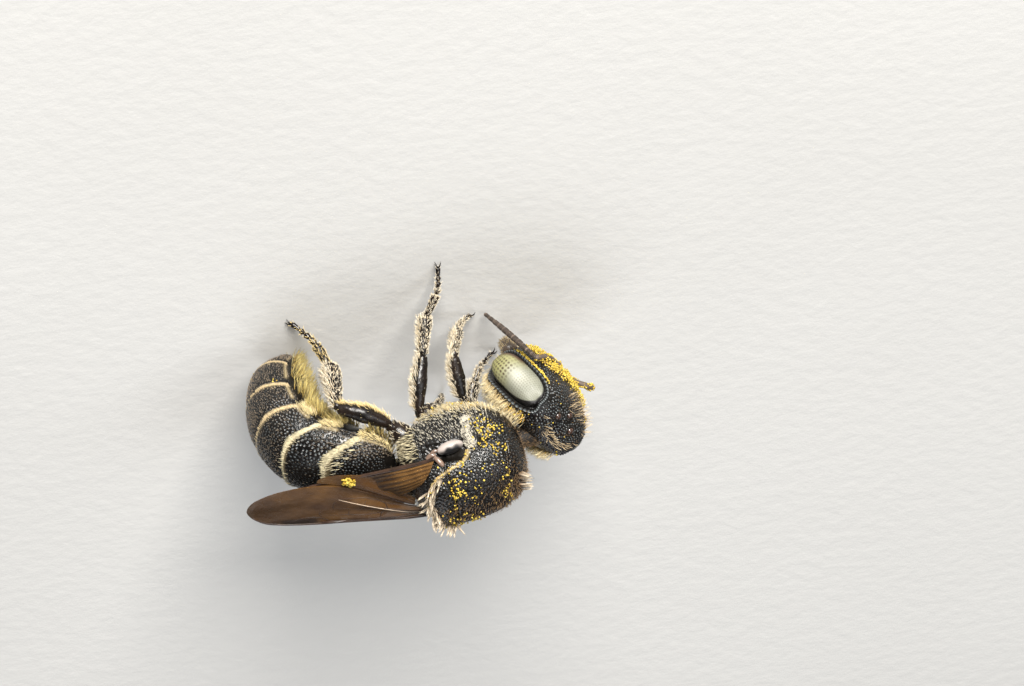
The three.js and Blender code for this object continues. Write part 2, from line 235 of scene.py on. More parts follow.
def build(name, points, faces, material, marks=None, places=None, node=()):
    mesh = bpy.data.meshes.new(name)
    faces = np.ascontiguousarray(faces, np.int32)
    mesh.vertices.add(len(points))
    mesh.vertices.foreach_set("co", (np.asarray(points) * MM).astype(np.float32).ravel())
    mesh.loops.add(faces.size)
    mesh.loops.foreach_set("vertex_index", faces.ravel())
    mesh.polygons.add(len(faces))
    mesh.polygons.foreach_set("loop_start", np.arange(len(faces), dtype=np.int32) * 3)
    for mark, values in (marks or {}).items():
        layer = mesh.attributes.new(mark, "FLOAT", "POINT")
        layer.data.foreach_set("value", np.asarray(values, np.float32).ravel())
    if places is not None:
        layer = mesh.uv_layers.new(name="OFBake")
        layer.data.foreach_set("uv", places[faces.ravel()].astype(np.float32).ravel())
    mesh.update(calc_edges=True)
    mesh.validate()
    mesh.shade_smooth()
    mesh.materials.append(material)
    piece = bpy.data.objects.new(name, mesh)
    bpy.context.scene.collection.objects.link(piece)
    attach(piece, "root")
    if node:
        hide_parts(*([node] if isinstance(node, str) else node))
    return piece


def skin_piece(name, skin, material, node=(), keep=None):
    """A piece from a whole skin, or from the part of it whose faces `keep` picks."""
    rows, count = skin.points.shape[:2]
    points = skin.points.reshape(-1, 3)
    faces = grid_faces(rows, count)
    ends = np.array([skin.points[0].mean(0), skin.points[-1].mean(0)])
    ring = np.arange(count)
    first = np.full(count, len(points))
    low = np.stack([first, (ring + 1) % count, ring], 1)
    last = (rows - 1) * count
    high = np.stack([first + 1, last + ring, last + (ring + 1) % count], 1)
    points = np.concatenate([points, ends])
    faces = outward(points, np.concatenate([faces, low, high]))
    marks = {}
    for mark, values in skin.marks.items():
        flat = values.ravel()
        marks[mark] = np.concatenate([flat, [flat[0], flat[-1]]])
    if keep is not None:
        faces = faces[keep(points[faces].mean(1))]
        used, faces = np.unique(faces, return_inverse=True)
        faces = faces.reshape(-1, 3)
        points = points[used]
        marks = {mark: values[used] for mark, values in marks.items()}
    return build(name, points, faces, material, marks, node=node)


def ring_angles(count):
    """Angles round a body ring: close together over the back and the sides, and wide on the belly."""
    edge = math.radians(125)
    share = [0, 0.44, 0.56, 1]
    return np.interp(np.arange(count) / count, share, [0, edge, 2 * math.pi - edge, 2 * math.pi])


def rounded(value, fullness):
    """A cosine or sine bent so that its ring is fuller (below 1) or leaner than an oval."""
    return np.sign(value) * np.abs(value) ** fullness


def loft(low, high, half, count, fullness, level, angle=None):
    """Rounded rings between the low and high points of the middle plane."""
    angle = np.linspace(0, 2 * math.pi, count, endpoint=False) if angle is None else angle
    tall = np.linalg.norm(high - low, axis=1)
    up = (high - low) / tall[:, None]
    middle = low + up * (tall * level)[:, None]
    reach = np.where(np.cos(angle) > 0, 1 - level, level)
    lift = rounded(np.cos(angle), fullness) * reach * tall[:, None]
    points = middle[:, None] + up[:, None] * lift[..., None]
    points[..., 1] += rounded(np.sin(angle), fullness) * half[:, None]
    return points


def even_places(rows, count, weights):
    """Places along a table that are evenly spaced by the distance between its rows."""
    dense = np.linspace(0, len(rows) - 1, 30 * len(rows))
    table = rows_at(rows, dense) * np.asarray(weights)
    steps = np.linalg.norm(np.diff(table, axis=0), axis=1)
    run = np.concatenate([[0], np.cumsum(steps)])
    return np.interp(np.linspace(0, run[-1], count), run, dense)


def tube(points, sizes, count=24, rows=40, side=(0, 0, 1)):
    """A limb: a skin along a curve, with half sizes (share, across, deep) along it."""
    middle = curve(points, rows)
    ahead = unit(np.gradient(middle, axis=0))
    across = unit(np.cross(ahead, np.asarray(side, float)))
    deep = np.cross(ahead, across)
    table = np.asarray(sizes, float)
    share = np.linspace(0, 1, rows)
    wide, thick = (np.interp(share, table[:, 0], table[:, k]) for k in (1, 2))
    angle = np.linspace(0, 2 * math.pi, count, endpoint=False)
    ring = across[:, None] * (np.cos(angle) * wide[:, None])[..., None]
    ring = ring + deep[:, None] * (np.sin(angle) * thick[:, None])[..., None]
    return Skin(middle[:, None] + ring)


# ---------------------------------------------------------------- pits
def spread_out(points, spacing, rng, tries=14):
    """Numbers of points that lie at least `spacing` apart, as many as fit."""
    widest = float(spacing.max())
    area_share = len(points) * min(1.0, tries * 3000 / len(points))
    order = rng.permutation(len(points))[: int(area_share)]
    cells = {}
    chosen = []
    around = [(i, j, k) for i in (-1, 0, 1) for j in (-1, 0, 1) for k in (-1, 0, 1)]
    keys = np.floor(points / widest).astype(int)
    for n in order:
        p = points[n]
        x, y, z = keys[n]
        gap = spacing[n] ** 2
        free = True
        for i, j, k in around:
            for q in cells.get((x + i, y + j, z + k), ()):
                if (p[0] - q[0]) ** 2 + (p[1] - q[1]) ** 2 + (p[2] - q[2]) ** 2 < gap:
                    free = False
                    break
            if not free:
                break
        if free:
            cells.setdefault((x, y, z), []).append(tuple(p))
            chosen.append(n)
    return np.array(chosen)


def pit(skin, spacing, depth, seed, size=0.5, fleck_and_highlight=0.6):
    """Presses round pits into a skin. `spacing` and `depth` are grids; where depth is 0 there are none.
    The last argument says how much of the pale hair, and of the painted highlight that goes with it,
    shows in each pit."""
    rng = np.random.default_rng(seed)
    points = skin.points.reshape(-1, 3)
    shape = skin.points.shape[:2]
    spacing = np.broadcast_to(spacing, shape).ravel()
    depth = np.broadcast_to(depth, shape).ravel()
    pitted = np.flatnonzero(depth > 0.1 * depth.max())
    chosen = pitted[spread_out(points[pitted], spacing[pitted], rng)]
    tree = KDTree(len(chosen))
    for n in chosen:
        tree.insert(points[n], n)
    tree.balance()
    near = np.array([tree.find(p)[1:] for p in points.tolist()])
    owner = near[:, 0].astype(int)
    radius = spacing[owner] * size
    hollow = 1 - smooth(near[:, 1], 0.30 * radius, 1.05 * radius)
    skin.raise_by((-hollow * depth).reshape(shape))
    share = np.minimum(1, depth / depth.max())
    # The pit mark is painted shade: it darkens each hollow in the colour.
    skin.marks["pit"] = (hollow * share).reshape(shape)
    own = rng.uniform(0.25, 1.0, len(points))[owner]
    # The pale spot at each pit's middle is partly pale hair and partly a painted highlight.
    core = 1 - smooth(near[:, 1], 0.18 * radius, 0.62 * radius)
    skin.marks["fleck_and_highlight"] = (core * share * own).reshape(shape) * fleck_and_highlight


# ---------------------------------------------------------------- hair
class Roots:
    """Where hairs grow: a point, the surface's outward and rearward directions, and the unwrap place."""

    def __init__(self, points, normal, flow, places):
        self.points = points
        self.normal = normal
        self.flow = flow
        self.places = places


def plant(skin, count, weight, seed):
    """Random roots on a skin, where `weight` (a grid) says how dense they are."""
    rng = np.random.default_rng(seed)
    cell = np.linalg.norm(np.cross(skin.along, skin.around), axis=-1)
    share = cell * np.clip(weight, 0, None)
    share[-1] = 0
    rows, columns = share.shape
    run = np.cumsum(share.ravel())
    at = np.searchsorted(run, rng.uniform(0, run[-1], count))
    row, col = np.divmod(np.minimum(at, rows * columns - 1), columns)
    row = np.minimum(row, rows - 2)
    down, over = rng.uniform(size=(2, count, 1))
    here = skin.points[row, col]
    beside = skin.points[row, (col + 1) % columns]
    points = here + (skin.points[row + 1, col] - here) * down + (beside - here) * over
    return Roots(points, skin.normal[row, col], unit(skin.along[row, col]), skin.place()[row, col])


def nearest(points, centres):
    """For each point, the number of the nearest centre."""
    tree = KDTree(len(centres))
    for n, p in enumerate(centres.tolist()):
        tree.insert(p, n)
    tree.balance()
    return np.array([tree.find(p)[1] for p in points.tolist()])


def bunches(roots, spacing, each, spread, seed):
    """A few of the roots, well apart, each of them repeated as a close bunch."""
    rng = np.random.default_rng(seed)
    chosen = np.repeat(spread_out(roots.points, np.full(len(roots.points), spacing), rng), each)
    aside = rng.normal(size=(len(chosen), 3)) * spread
    return Roots(roots.points[chosen] + aside, roots.normal[chosen], roots.flow[chosen],
                 roots.places[chosen])


HAIR_ROOT = 0.012              # how deep a hair's root sits below the skin
HAIR_PATCH = 0.003             # the size of a hair's place on the unwrap
FLOOR_GAP = 0.004              # a hair that reaches the floor lies this high on it


def drawn_together(roots, knee, tip, spacing, share, rng):
    """Draws the tips of hairs that grow close together towards their middle."""
    centres = roots[spread_out(roots, np.full(len(roots), spacing), rng)]
    group = nearest(roots, centres)
    total = np.zeros((len(centres), 3))
    np.add.at(total, group, tip)
    middle = total / np.maximum(np.bincount(group, minlength=len(centres)), 1)[:, None]
    knee = knee + (middle[group] - knee) * share * 0.25
    return knee, tip + (middle[group] - tip) * share


def spikes(base, knee, tip, start, width, share, rng):
    """The points of three-sided spikes on soft curves; `start` is the way each leaves the skin."""
    n = len(base)
    side = unit(np.cross(start, unit(rng.normal(size=(n, 3)))))
    third = np.cross(start, side)
    angle = 2 * math.pi * np.arange(3) / 3
    s = share[None, :, None]
    spine = base[:, None] * (1 - s) ** 2 + knee[:, None] * 2 * s * (1 - s) + tip[:, None] * s ** 2
    thick = (width[:, None] / 2) * (1 - 0.6 * share)
    ring = side[:, None] * np.cos(angle)[None, :, None] + third[:, None] * np.sin(angle)[None, :, None]
    body = spine[:, :, None] + ring[:, None] * thick[:, :, None, None]
    points = np.concatenate([body.reshape(n, -1, 3), tip[:, None]], axis=1)
    points[..., 2] = np.maximum(points[..., 2], FLOOR_GAP)
    return points.reshape(-1, 3)


def spike_faces(steps):
    """The faces of one spike of that many rings and a pointed tip."""
    faces = [[0, 2, 1]]
    for k in range(steps - 1):
        for j in range(3):
            a, b = 3 * k + j, 3 * k + (j + 1) % 3
            faces += [[a, b, b + 3], [a, b + 3, a + 3]]
    top = 3 * (steps - 1)
    return np.array(faces + [[top + j, top + (j + 1) % 3, top + 3] for j in range(3)])


def grow(roots, length, lean, seed, width=0.011, bend=0.6, scatter=0.22, flow=None, steps=2,
         clump=0.0, gather=0.5, dust=0.0):
    """Hairs as closed, thin, three-sided spikes. `lean` is the angle from the surface's normal, `flow`
    the way they lie, `clump` the spacing of the bundles whose tips draw together by `gather`, and
    `dust` how much pollen they carry."""
    rng = np.random.default_rng(seed)
    n = len(roots.points)
    way = roots.flow if flow is None else np.broadcast_to(np.asarray(flow, float), roots.flow.shape)
    way = unit(way - roots.normal * (way * roots.normal).sum(1, keepdims=True))
    tilt = math.radians(lean)
    start = roots.normal * math.cos(tilt) + way * math.sin(tilt)
    start = unit(start + scatter * rng.normal(size=(n, 3)))
    finish = unit(start + bend * way)
    size = (np.broadcast_to(length, n) * rng.uniform(0.7, 1.15, n))[:, None]
    base = roots.points - roots.normal * HAIR_ROOT
    knee = base + start * size / 2
    tip = knee + finish * size / 2
    if clump:
        knee, tip = drawn_together(roots.points, knee, tip, clump, gather, rng)
    share = np.linspace(0, 1, steps + 1)[:-1]
    points = spikes(base, knee, tip, start, np.broadcast_to(width, n), share, rng)
    each = 3 * steps + 1
    faces = (spike_faces(steps)[None] + each * np.arange(n)[:, None, None]).reshape(-1, 3)
    along = np.append(np.repeat(share, 3), 1.0)
    over = np.append(np.tile([-0.5, 0, 0.5], steps), 0.0)
    patch = np.stack([over, along - 0.5], axis=1) * HAIR_PATCH
    places = (roots.places[:, None] + patch[None]).reshape(-1, 2)
    marks = {
        "along": np.tile(along, n),
        "tone": np.repeat(rng.uniform(size=n), each),
        "dust": np.repeat(np.clip(np.broadcast_to(dust, n) * rng.uniform(0, 2, n), 0, 1), each),
    }
    return points, faces, places, marks


def hairs(skin, weight, count, seed, length, lean, **shape):
    """Hairs planted on a skin where `weight` says, and grown alike; `shape` is what grow() takes."""
    return grow(plant(skin, count, weight, seed), length, lean, seed + 1, **shape)


def coat(name, tufts, material):
    """Joins tufts into one piece."""
    start = np.cumsum([0] + [len(t[0]) for t in tufts])
    points = np.concatenate([t[0] for t in tufts])
    faces = np.concatenate([t[1] + n for t, n in zip(tufts, start)])
    places = np.concatenate([t[2] for t in tufts])
    marks = {m: np.concatenate([t[3][m] for t in tufts]) for m in tufts[0][3]}
    return build(name, points, faces, material, marks, places)


def grains(spots, sizes, seed):
    """Pollen grains: small lumpy balls joined together."""
    rng = np.random.default_rng(seed)
    points, faces = ball(1)
    n = len(spots)
    lumps = 1 + 0.16 * rng.normal(size=(n, len(points), 1))
    placed = spots[:, None] + points[None] * lumps * np.broadcast_to(sizes, n)[:, None, None]
    faces = (faces[None] + len(points) * np.arange(n)[:, None, None]).reshape(-1, 3)
    marks = {"tone": np.repeat(rng.uniform(size=n), len(points))}
    return placed.reshape(-1, 3), faces, marks


def ball(finer=2):
    """The points and faces of a ball of radius 1: an icosahedron, divided (finer - 1) times."""
    g = (1 + math.sqrt(5)) / 2
    points = [[-1, g, 0], [1, g, 0], [-1, -g, 0], [1, -g, 0], [0, -1, g], [0, 1, g],
              [0, -1, -g], [0, 1, -g], [g, 0, -1], [g, 0, 1], [-g, 0, -1], [-g, 0, 1]]
    faces = [[0, 11, 5], [0, 5, 1], [0, 1, 7], [0, 7, 10], [0, 10, 11], [1, 5, 9], [5, 11, 4],
             [11, 10, 2], [10, 7, 6], [7, 1, 8], [3, 9, 4], [3, 4, 2], [3, 2, 6], [3, 6, 8],
             [3, 8, 9], [4, 9, 5], [2, 4, 11], [6, 2, 10], [8, 6, 7], [9, 8, 1]]
    points = unit(np.array(points, float)).tolist()
    for _ in range(finer - 1):
        middles = {}
        split = []
        for a, b, c in faces:
            mids = []
            for pair in ((a, b), (b, c), (c, a)):
                key = tuple(sorted(pair))
                if key not in middles:
                    middles[key] = len(points)
                    points.append(unit((np.array(points[pair[0]]) + points[pair[1]]) / 2).tolist())
                mids.append(middles[key])
            ab, bc, ca = mids
            split += [[a, ab, ca], [b, bc, ab], [c, ca, bc], [ab, bc, ca]]
        faces = split
    return np.array(points), np.array(faces)


# ---------------------------------------------------------------- materials
POLLEN_DUST = (0.80, 0.44, 0.02)
# Painted shade in the pits' hollows.
PIT_SHADE = (0.001, 0.001, 0.001)
# Pale hair and a painted highlight at each pit's middle.
PIT_HAIR_AND_HIGHLIGHT = (0.25, 0.28, 0.29)


class Shader:
    """A node material, built a node at a time."""

    def __init__(self, name):
        self.material = bpy.data.materials.new(name)
        self.material.use_nodes = True
        self.tree = self.material.node_tree
        self.surface = self.tree.nodes["Principled BSDF"]
        where = self.tree.nodes.new("ShaderNodeTexCoord").outputs["Object"]
        self.place = self.add("ShaderNodeVectorMath", {"operation": "SCALE"}, {0: where, 3: 1 / MM})

    def add(self, kind, settings=None, inputs=None, output=0):
        made = self.tree.nodes.new(kind)
        for key, value in (settings or {}).items():
            setattr(made, key, value)
        for key, value in (inputs or {}).items():
            self.put(made.inputs[key], value)
        return made.outputs[output]

    def put(self, socket, value):
        if isinstance(value, bpy.types.NodeSocket):
            self.tree.links.new(value, socket)
        elif isinstance(value, (tuple, list)) and len(value) == 3 and socket.type == "RGBA":
            socket.default_value = (*value, 1)
        else:
            socket.default_value = value

    def mark(self, name):
        return self.add("ShaderNodeAttribute", {"attribute_name": name}, output="Fac")

    def noise(self, scale, detail=3.0, rough=0.55):
        inputs = {"Vector": self.place, "Scale": scale, "Detail": detail, "Roughness": rough}
        return self.add("ShaderNodeTexNoise", inputs=inputs)

    def cells(self, scale, feature="F1"):
        inputs = {"Vector": self.place, "Scale": scale}
        return self.add("ShaderNodeTexVoronoi", {"feature": feature}, inputs)

    def span(self, value, low, high, new_low=0.0, new_high=1.0):
        inputs = {"Value": value, 1: low, 2: high, 3: new_low, 4: new_high}
        return self.add("ShaderNodeMapRange", inputs=inputs)

    def blend(self, share, a, b, kind="MIX"):
        inputs = {0: share, 6: a, 7: b}
        return self.add("ShaderNodeMix", {"data_type": "RGBA", "blend_type": kind}, inputs, output=2)

    def sum(self, a, b, operation="ADD"):
        return self.add("ShaderNodeMath", {"operation": operation}, {0: a, 1: b})

    def bumps(self, height, depth, under=None):
        inputs = {"Height": height, "Distance": depth * MM, "Strength": 1.0}
        if under is not None:
            inputs["Normal"] = under
        return self.add("ShaderNodeBump", inputs=inputs)

    def finish(self, **sockets):
        for name, value in sockets.items():
            self.put(self.surface.inputs[name.replace("_", " ")], value)
        return self.material


def cuticle(name, dark, light, pale=(0.34, 0.27, 0.15), gloss=(0.15, 0.30), leather=70.0, grain=0.0010):
    """Black insect shell: painted shade in its pits and pale hair with a painted highlight at their
    middles, paler where marked, with a fine leathery net over it.
    """
    s = Shader(name)
    patch = s.noise(2.2)
    color = s.blend(s.span(patch, 0.35, 0.65), dark, light)
    hollow = s.mark("pit")
    # Painted shade darkens each pit's hollow.
    color = s.blend(s.span(hollow, 0, 1, 0, 0.7), color, PIT_SHADE)
    # The pale spot at each pit's middle: pale hair and a painted highlight.
    color = s.blend(s.mark("fleck_and_highlight"), color, PIT_HAIR_AND_HIGHLIGHT)
    color = s.blend(s.mark("pale"), color, pale)
    dull = s.span(s.noise(9.0), 0.3, 0.7, *gloss)
    net = s.bumps(s.cells(leather), grain)
    rough = s.bumps(s.noise(26.0, 4.0), 0.003, net)
    return s.finish(Base_Color=color, Roughness=dull, Normal=rough, Specular_IOR_Level=0.28)


def polished(name, color, roughness):
    """Smooth hard shell with a faint unevenness."""
    s = Shader(name)
    tone = s.blend(s.span(s.noise(4.0), 0.3, 0.7), color, tuple(1.9 * c + 0.002 for c in color))
    dull = s.span(s.noise(14.0), 0.3, 0.7, roughness * 0.8, roughness * 1.5)
    ripple = s.bumps(s.noise(16.0), 0.003)
    return s.finish(Base_Color=tone, Roughness=dull, Normal=ripple, Coat_Weight=0.3, Coat_Roughness=0.08)


def hair_material(name, root, tip):
    """Hair that is darker at its root, a little different from hair to hair, and dusted with pollen."""
    s = Shader(name)
    color = s.blend(s.span(s.mark("along"), 0.0, 0.75), root, tip)
    shade = s.span(s.mark("tone"), 0, 1, 0.55, 1.10)
    grey = s.add("ShaderNodeCombineColor", inputs={0: shade, 1: shade, 2: shade})
    color = s.blend(1.0, color, grey, "MULTIPLY")
    color = s.blend(s.mark("dust"), color, POLLEN_DUST)
    return s.finish(Base_Color=color, Roughness=0.5, Specular_IOR_Level=0.35, Sheen_Weight=0.05)


def pollen_material():
    s = Shader("pollen")
    color = s.blend(s.mark("tone"), (0.27, 0.165, 0.009), (0.52, 0.40, 0.07))
    rough = s.bumps(s.cells(120.0), 0.003)
    return s.finish(Base_Color=color, Roughness=0.6, Normal=rough, Specular_IOR_Level=0.3)


def eye_material():
    """Pale grey-green lenses, with dark spots in rows, a dark rim, a yellower lower half and a painted
    highlight in the middle.
    """
    s = Shader("compound_eye")
    color = s.blend(s.mark("lower"), (0.135, 0.140, 0.110), (0.230, 0.222, 0.085))
    # A painted highlight: a whitish patch over the middle of each eye.
    color = s.blend(s.mark("painted_highlight"), color, (0.36, 0.36, 0.31))
    color = s.blend(s.span(s.noise(3.0), 0.3, 0.7, 0, 0.3), color, (0.25, 0.25, 0.19))
    color = s.blend(s.mark("spot"), color, (0.050, 0.033, 0.016))
    color = s.blend(s.mark("amber"), color, (0.045, 0.018, 0.007))
    color = s.blend(s.mark("rim"), color, (0.004, 0.003, 0.003))
    return s.finish(Base_Color=color, Roughness=0.45, Specular_IOR_Level=0.45, Coat_Weight=0.22,
                    Coat_Roughness=0.36)


def wing_material(name, dark, light):
    """A smoky skin, darker at its outer end, with painted shade along its folds and a fine grain of
    hairs.
    """
    s = Shader(name)
    # The mark is real smokiness at the outer end and painted shade along the folds.
    smoke_and_fold_shade = s.mark("smoke_and_fold_shade")
    color = s.blend(s.span(s.noise(1.6), 0.3, 0.7), dark, light)
    color = s.blend(smoke_and_fold_shade, color, (0.020, 0.010, 0.005))
    cover = s.sum(s.span(smoke_and_fold_shade, 0, 1, 0.74, 0.90), s.span(s.noise(5.0), 0.3, 0.7, -0.07, 0.07))
    grain = s.bumps(s.noise(60.0, 2.0), 0.0012)
    fold = s.bumps(s.noise(3.5, 2.0), 0.02, grain)
    return s.finish(Base_Color=color, Alpha=cover, Roughness=0.42, Normal=fold, Specular_IOR_Level=0.12)


def vein_material():
    s = Shader("wing_vein")
    color = s.blend(s.span(s.noise(5.0), 0.3, 0.7), (0.011, 0.006, 0.004), (0.040, 0.021, 0.013))
    return s.finish(Base_Color=color, Roughness=0.38, Normal=s.bumps(s.noise(30.0), 0.002),
                    Specular_IOR_Level=0.3)


# ---------------------------------------------------------------- head
def eye_reach(points, side=1):
    """1 on an eye's surface, less inside it and more outside, for points of the head's own frame."""
    across, out, up = np.moveaxis(np.abs((points - EYE_CENTRE * [1, side, 1]) / EYE_RADII), -1, 0)
    outline = (across ** EYE_FULLNESS + up ** EYE_FULLNESS) ** (1 / EYE_FULLNESS)
    return np.sqrt(outline ** 2 + out ** 2)


def distance_in(x, y, at):
    """The distance from a spot [x, y] in the plane of two coordinates."""
    return np.sqrt((x - at[0]) ** 2 + (y - at[1]) ** 2)


def head_skin():
    """The head capsule: eye grooves and their beaded ridges, face shield, sockets, neck and pits."""
    places = even_places(HEAD_SECTIONS, 220, (1, 0.5, 0.5, 1))
    height, back, front, half = rows_at(HEAD_SECTIONS, places).T
    zero = np.zeros_like(height)
    low, high = np.stack([back, zero, height], 1), np.stack([front, zero, height], 1)
    skin = Skin(loft(low, high, half, 400, 0.78, 0.46))
    p = skin.points
    x, y, z = p[..., 0], p[..., 1], p[..., 2]
    reach = np.minimum(eye_reach(p), eye_reach(p, -1))
    rear = smooth(EYE_CENTRE[0] - x, 0.0, 0.25)
    ridge = 1.075 + 0.115 * rear - 0.025 * smooth(z, 0.45, 0.75)
    round_eye = np.arctan2((z - EYE_CENTRE[2]) / EYE_RADII[2], (x - EYE_CENTRE[0]) / EYE_RADII[0])
    beads = np.cos(EYE_BEADS * round_eye)
    shape = -0.14 * (1 - smooth(reach, 0.84, 1.0)) - 0.040 * bell(reach, ridge - 0.045, 0.03)
    shape -= 0.100 * rear * bell(reach, 1.06, 0.06)
    shape += bell(reach, ridge, 0.035) * (0.032 + 0.007 * beads)
    crown = smooth(z, 0.5, 0.8)
    shape -= 0.045 * crown * np.exp(-((x - 0.05) ** 2 + (y / 1.5) ** 2) / 0.09)
    face = smooth(x, 0.2, 0.4)
    shield = np.sqrt((y / 0.46) ** 2 + ((z + 0.60) / 0.40) ** 2)
    shape += face * (0.020 * (1 - smooth(shield, 0.85, 1.05)) - 0.020 * bell(shield, 1.08, 0.05))
    shape += face * 0.030 * np.exp(-((y / 0.13) ** 2 + ((z + 0.12) / 0.20) ** 2))
    socket = distance_in(np.abs(y), z, SOCKET[1:])
    shape += face * (0.022 * bell(socket, 0.115, 0.03) - 0.06 * (1 - smooth(socket, 0.04, 0.10)))
    neck = distance_in(y, z, [0.0, 0.25])
    behind = 1 - smooth(x, -0.5, -0.3)
    shape -= behind * 0.10 * (1 - smooth(neck, 0.15, 0.45))
    ocelli = [distance_in(x, y, at) for at in OCELLI]
    for ring in ocelli:
        shape += crown * 0.012 * bell(ring, 0.085, 0.02)
    skin.raise_by(shape)
    skin.measure()
    bare = smooth(reach, 1.10 + 0.11 * rear, 1.17 + 0.11 * rear)
    bare = bare * (1 - behind * (1 - smooth(neck, 0.4, 0.55)))
    for ring in ocelli:
        bare = bare * np.maximum(1 - crown, smooth(ring, 0.10, 0.13))
    bare = bare * (1 - face * (1 - smooth(socket, 0.10, 0.14)))
    # Pits with painted shade in their hollows, and pale hair with a painted highlight at their middles.
    pit(skin, 0.050, 0.015 * bare, seed=11, fleck_and_highlight=0.85)
    # A painted highlight: a pale line along the beads of the ridge round each eye.
    line = bell(reach, ridge, 0.020) * (0.5 + 0.5 * beads)
    skin.marks["fleck_and_highlight"] = np.maximum(skin.marks["fleck_and_highlight"], 0.5 * line)
    # Painted shade: the groove between each eye and its ridge is darkened nearly to black.
    groove_shade = bell(reach, 1.0 + 0.05 * rear, 0.045 + 0.02 * rear)
    skin.marks["pit"] = np.maximum(skin.marks["pit"], groove_shade)
    skin.marks["pale"] = np.zeros(p.shape[:2])
    skin.local = p
    skin.reach = reach
    return skin


def head_parts(shell):
    """The head capsule and its simple eyes; its skin is returned for the coat."""
    local = head_skin()
    skin = local.moved(from_head)
    skin.local, skin.reach, skin.facing = local.local, local.reach, local.normal[..., 0]
    skin_piece("head_capsule", skin, shell, "head")
    simple_eyes(local)
    return skin


def simple_eyes(head):
    """The three small glassy eyes set into the crown."""
    ball_points, ball_faces = ball(3)
    below_crown = 9 * (head.points[..., 2] < 0.4)
    points, faces = [], []
    for at in OCELLI:
        gap = distance_in(head.points[..., 0], head.points[..., 1], at)
        spot = np.argmin(gap ** 2 + below_crown)
        top, normal = head.points.reshape(-1, 3)[spot], head.normal.reshape(-1, 3)[spot]
        dome = ball_points * OCELLUS_RADIUS
        flat = dome - np.outer(dome @ normal, normal) * 0.30
        faces.append(ball_faces + len(ball_points) * len(points))
        points.append(from_head(top - normal * 0.014 + flat))
    glass = polished("ocellus_glass", (0.022, 0.011, 0.007), 0.07)
    build("ocelli", np.concatenate(points), np.concatenate(faces), glass)


def eye_marks(across, up, run_up, run_over, points):
    """Where the eye's colours lie: dark spots in rows, a painted highlight, a dark rim and an amber
    front.
    """
    reach = np.sqrt(across ** 2 + up ** 2)
    large = 0.5 * np.cos(2 * math.pi * run_up / 0.092) + 0.5 * np.cos(2 * math.pi * run_over / 0.074)
    fine = 0.5 * np.cos(2 * math.pi * run_up / 0.056) + 0.5 * np.cos(2 * math.pi * run_over / 0.050)
    fade = 0.90 + 0.30 * waves(points, 0.5, 5)
    low_half = smooth(-up, -0.22, 0.18) * (1 - smooth(-up, 0.90, 0.97))
    low_half = low_half * (1 - 0.7 * smooth(across, 0.1, 0.6))
    spot = smooth(large, 0.02, 0.45) * low_half * fade
    spot = np.maximum(spot, 0.50 * smooth(fine, 0.1, 0.7) * smooth(up, 0.0, 0.4))
    rear = smooth(-across, 0.1, 0.6)
    edge = 0.955 - 0.05 * rear + 0.022 * smooth(up, 0.5, 0.85)
    front = smooth(across, 0.05, 0.5) * smooth(-up, -0.2, 0.35)
    return {
        "lower": smooth(-up, -0.35, 0.40),
        "spot": np.clip(spot, 0, 1),
        # The painted highlight's patch, a little above the eye's middle.
        "painted_highlight": np.exp(-((up - 0.20) / 0.36) ** 2 - ((across - 0.06) / 0.44) ** 2),
        "rim": smooth(reach, edge, edge + 0.022),
        "amber": front * smooth(reach, 0.62, 0.90),
    }


def compound_eyes():
    """Each eye as a field of small domed lenses."""
    rows, count = 210, 210
    rise = np.linspace(-math.pi / 2, math.pi / 2, rows)[1:-1, None]
    turned = np.linspace(0, 2 * math.pi, count, endpoint=False)[None]
    across, out = np.cos(rise) * np.cos(turned), np.cos(rise) * np.sin(turned)
    up = np.sin(rise) + 0 * turned
    outline = (np.abs(across) ** EYE_FULLNESS + np.abs(up) ** EYE_FULLNESS) ** (1 / EYE_FULLNESS)
    wider = np.sqrt(across ** 2 + up ** 2) / np.maximum(outline, 1e-6)
    points = np.stack([across * wider, out, up * wider], -1)
    skin = Skin(EYE_CENTRE + points * (EYE_RADII - 0.02))
    run_up = rise * EYE_RADII[2] * 0.9 + 0 * turned
    run_over = np.arctan2(across, np.maximum(out, 0.05)) * EYE_RADII[0] * np.cos(rise) ** 0.6
    pitch = 4 * math.pi / (math.sqrt(3) * LENS_SPACING)
    lens = sum(np.cos(pitch * (run_up * math.cos(a) + run_over * math.sin(a)))
               for a in (0, math.pi / 3, 2 * math.pi / 3))
    skin.marks = eye_marks(across, up, run_up, run_over, EYE_CENTRE + points)
    skin.raise_by(0.0022 * lens)
    material = eye_material()
    for side, sign in SIDES.items():
        eye = skin.moved(lambda p, sign=sign: from_head(p * [1, sign, 1]))
        inner = from_head(EYE_CENTRE * [1, sign, 1] - [0, 0.06 * sign, 0])
        out_way = HEAD_AXES @ [0, sign, 0]
        skin_piece(f"compound_eye_{side}", eye, material, f"eye_{side}",
                   keep=lambda c, inner=inner, way=out_way: (c - inner) @ way > 0)


# A mandible's line and its half sizes (share, across, deep), in the head's own frame.
MANDIBLE = [[0.16, 0.60, -0.84], [0.20, 0.53, -1.06], [0.16, 0.36, -1.27], [0.08, 0.12, -1.42]]
MANDIBLE_SIZES = [[0, 0.13, 0.15], [0.3, 0.12, 0.15], [0.65, 0.08, 0.13], [0.9, 0.05, 0.14],
                  [1, 0.02, 0.10]]
ANTENNAE = {
    "left": [[0.62, 0.22, -0.06], [0.57, 0.60, -0.06], [0.37, 0.98, 0.11], [0.33, 1.03, -0.74],
             [0.27, 1.06, -1.55]],
    "right": [[0.62, -0.22, -0.08], [0.78, -0.50, 0.04], [0.84, -0.74, -0.08], [0.62, -1.00, -0.90],
              [0.34, -0.96, -1.40]],
}
FLAGELLUM_JOINTS = 11
SCAPE_SIZES = [[0, 0.045, 0.045], [0.08, 0.060, 0.060], [0.16, 0.042, 0.042], [0.8, 0.060, 0.060],
               [0.96, 0.050, 0.050], [1, 0.03, 0.03]]


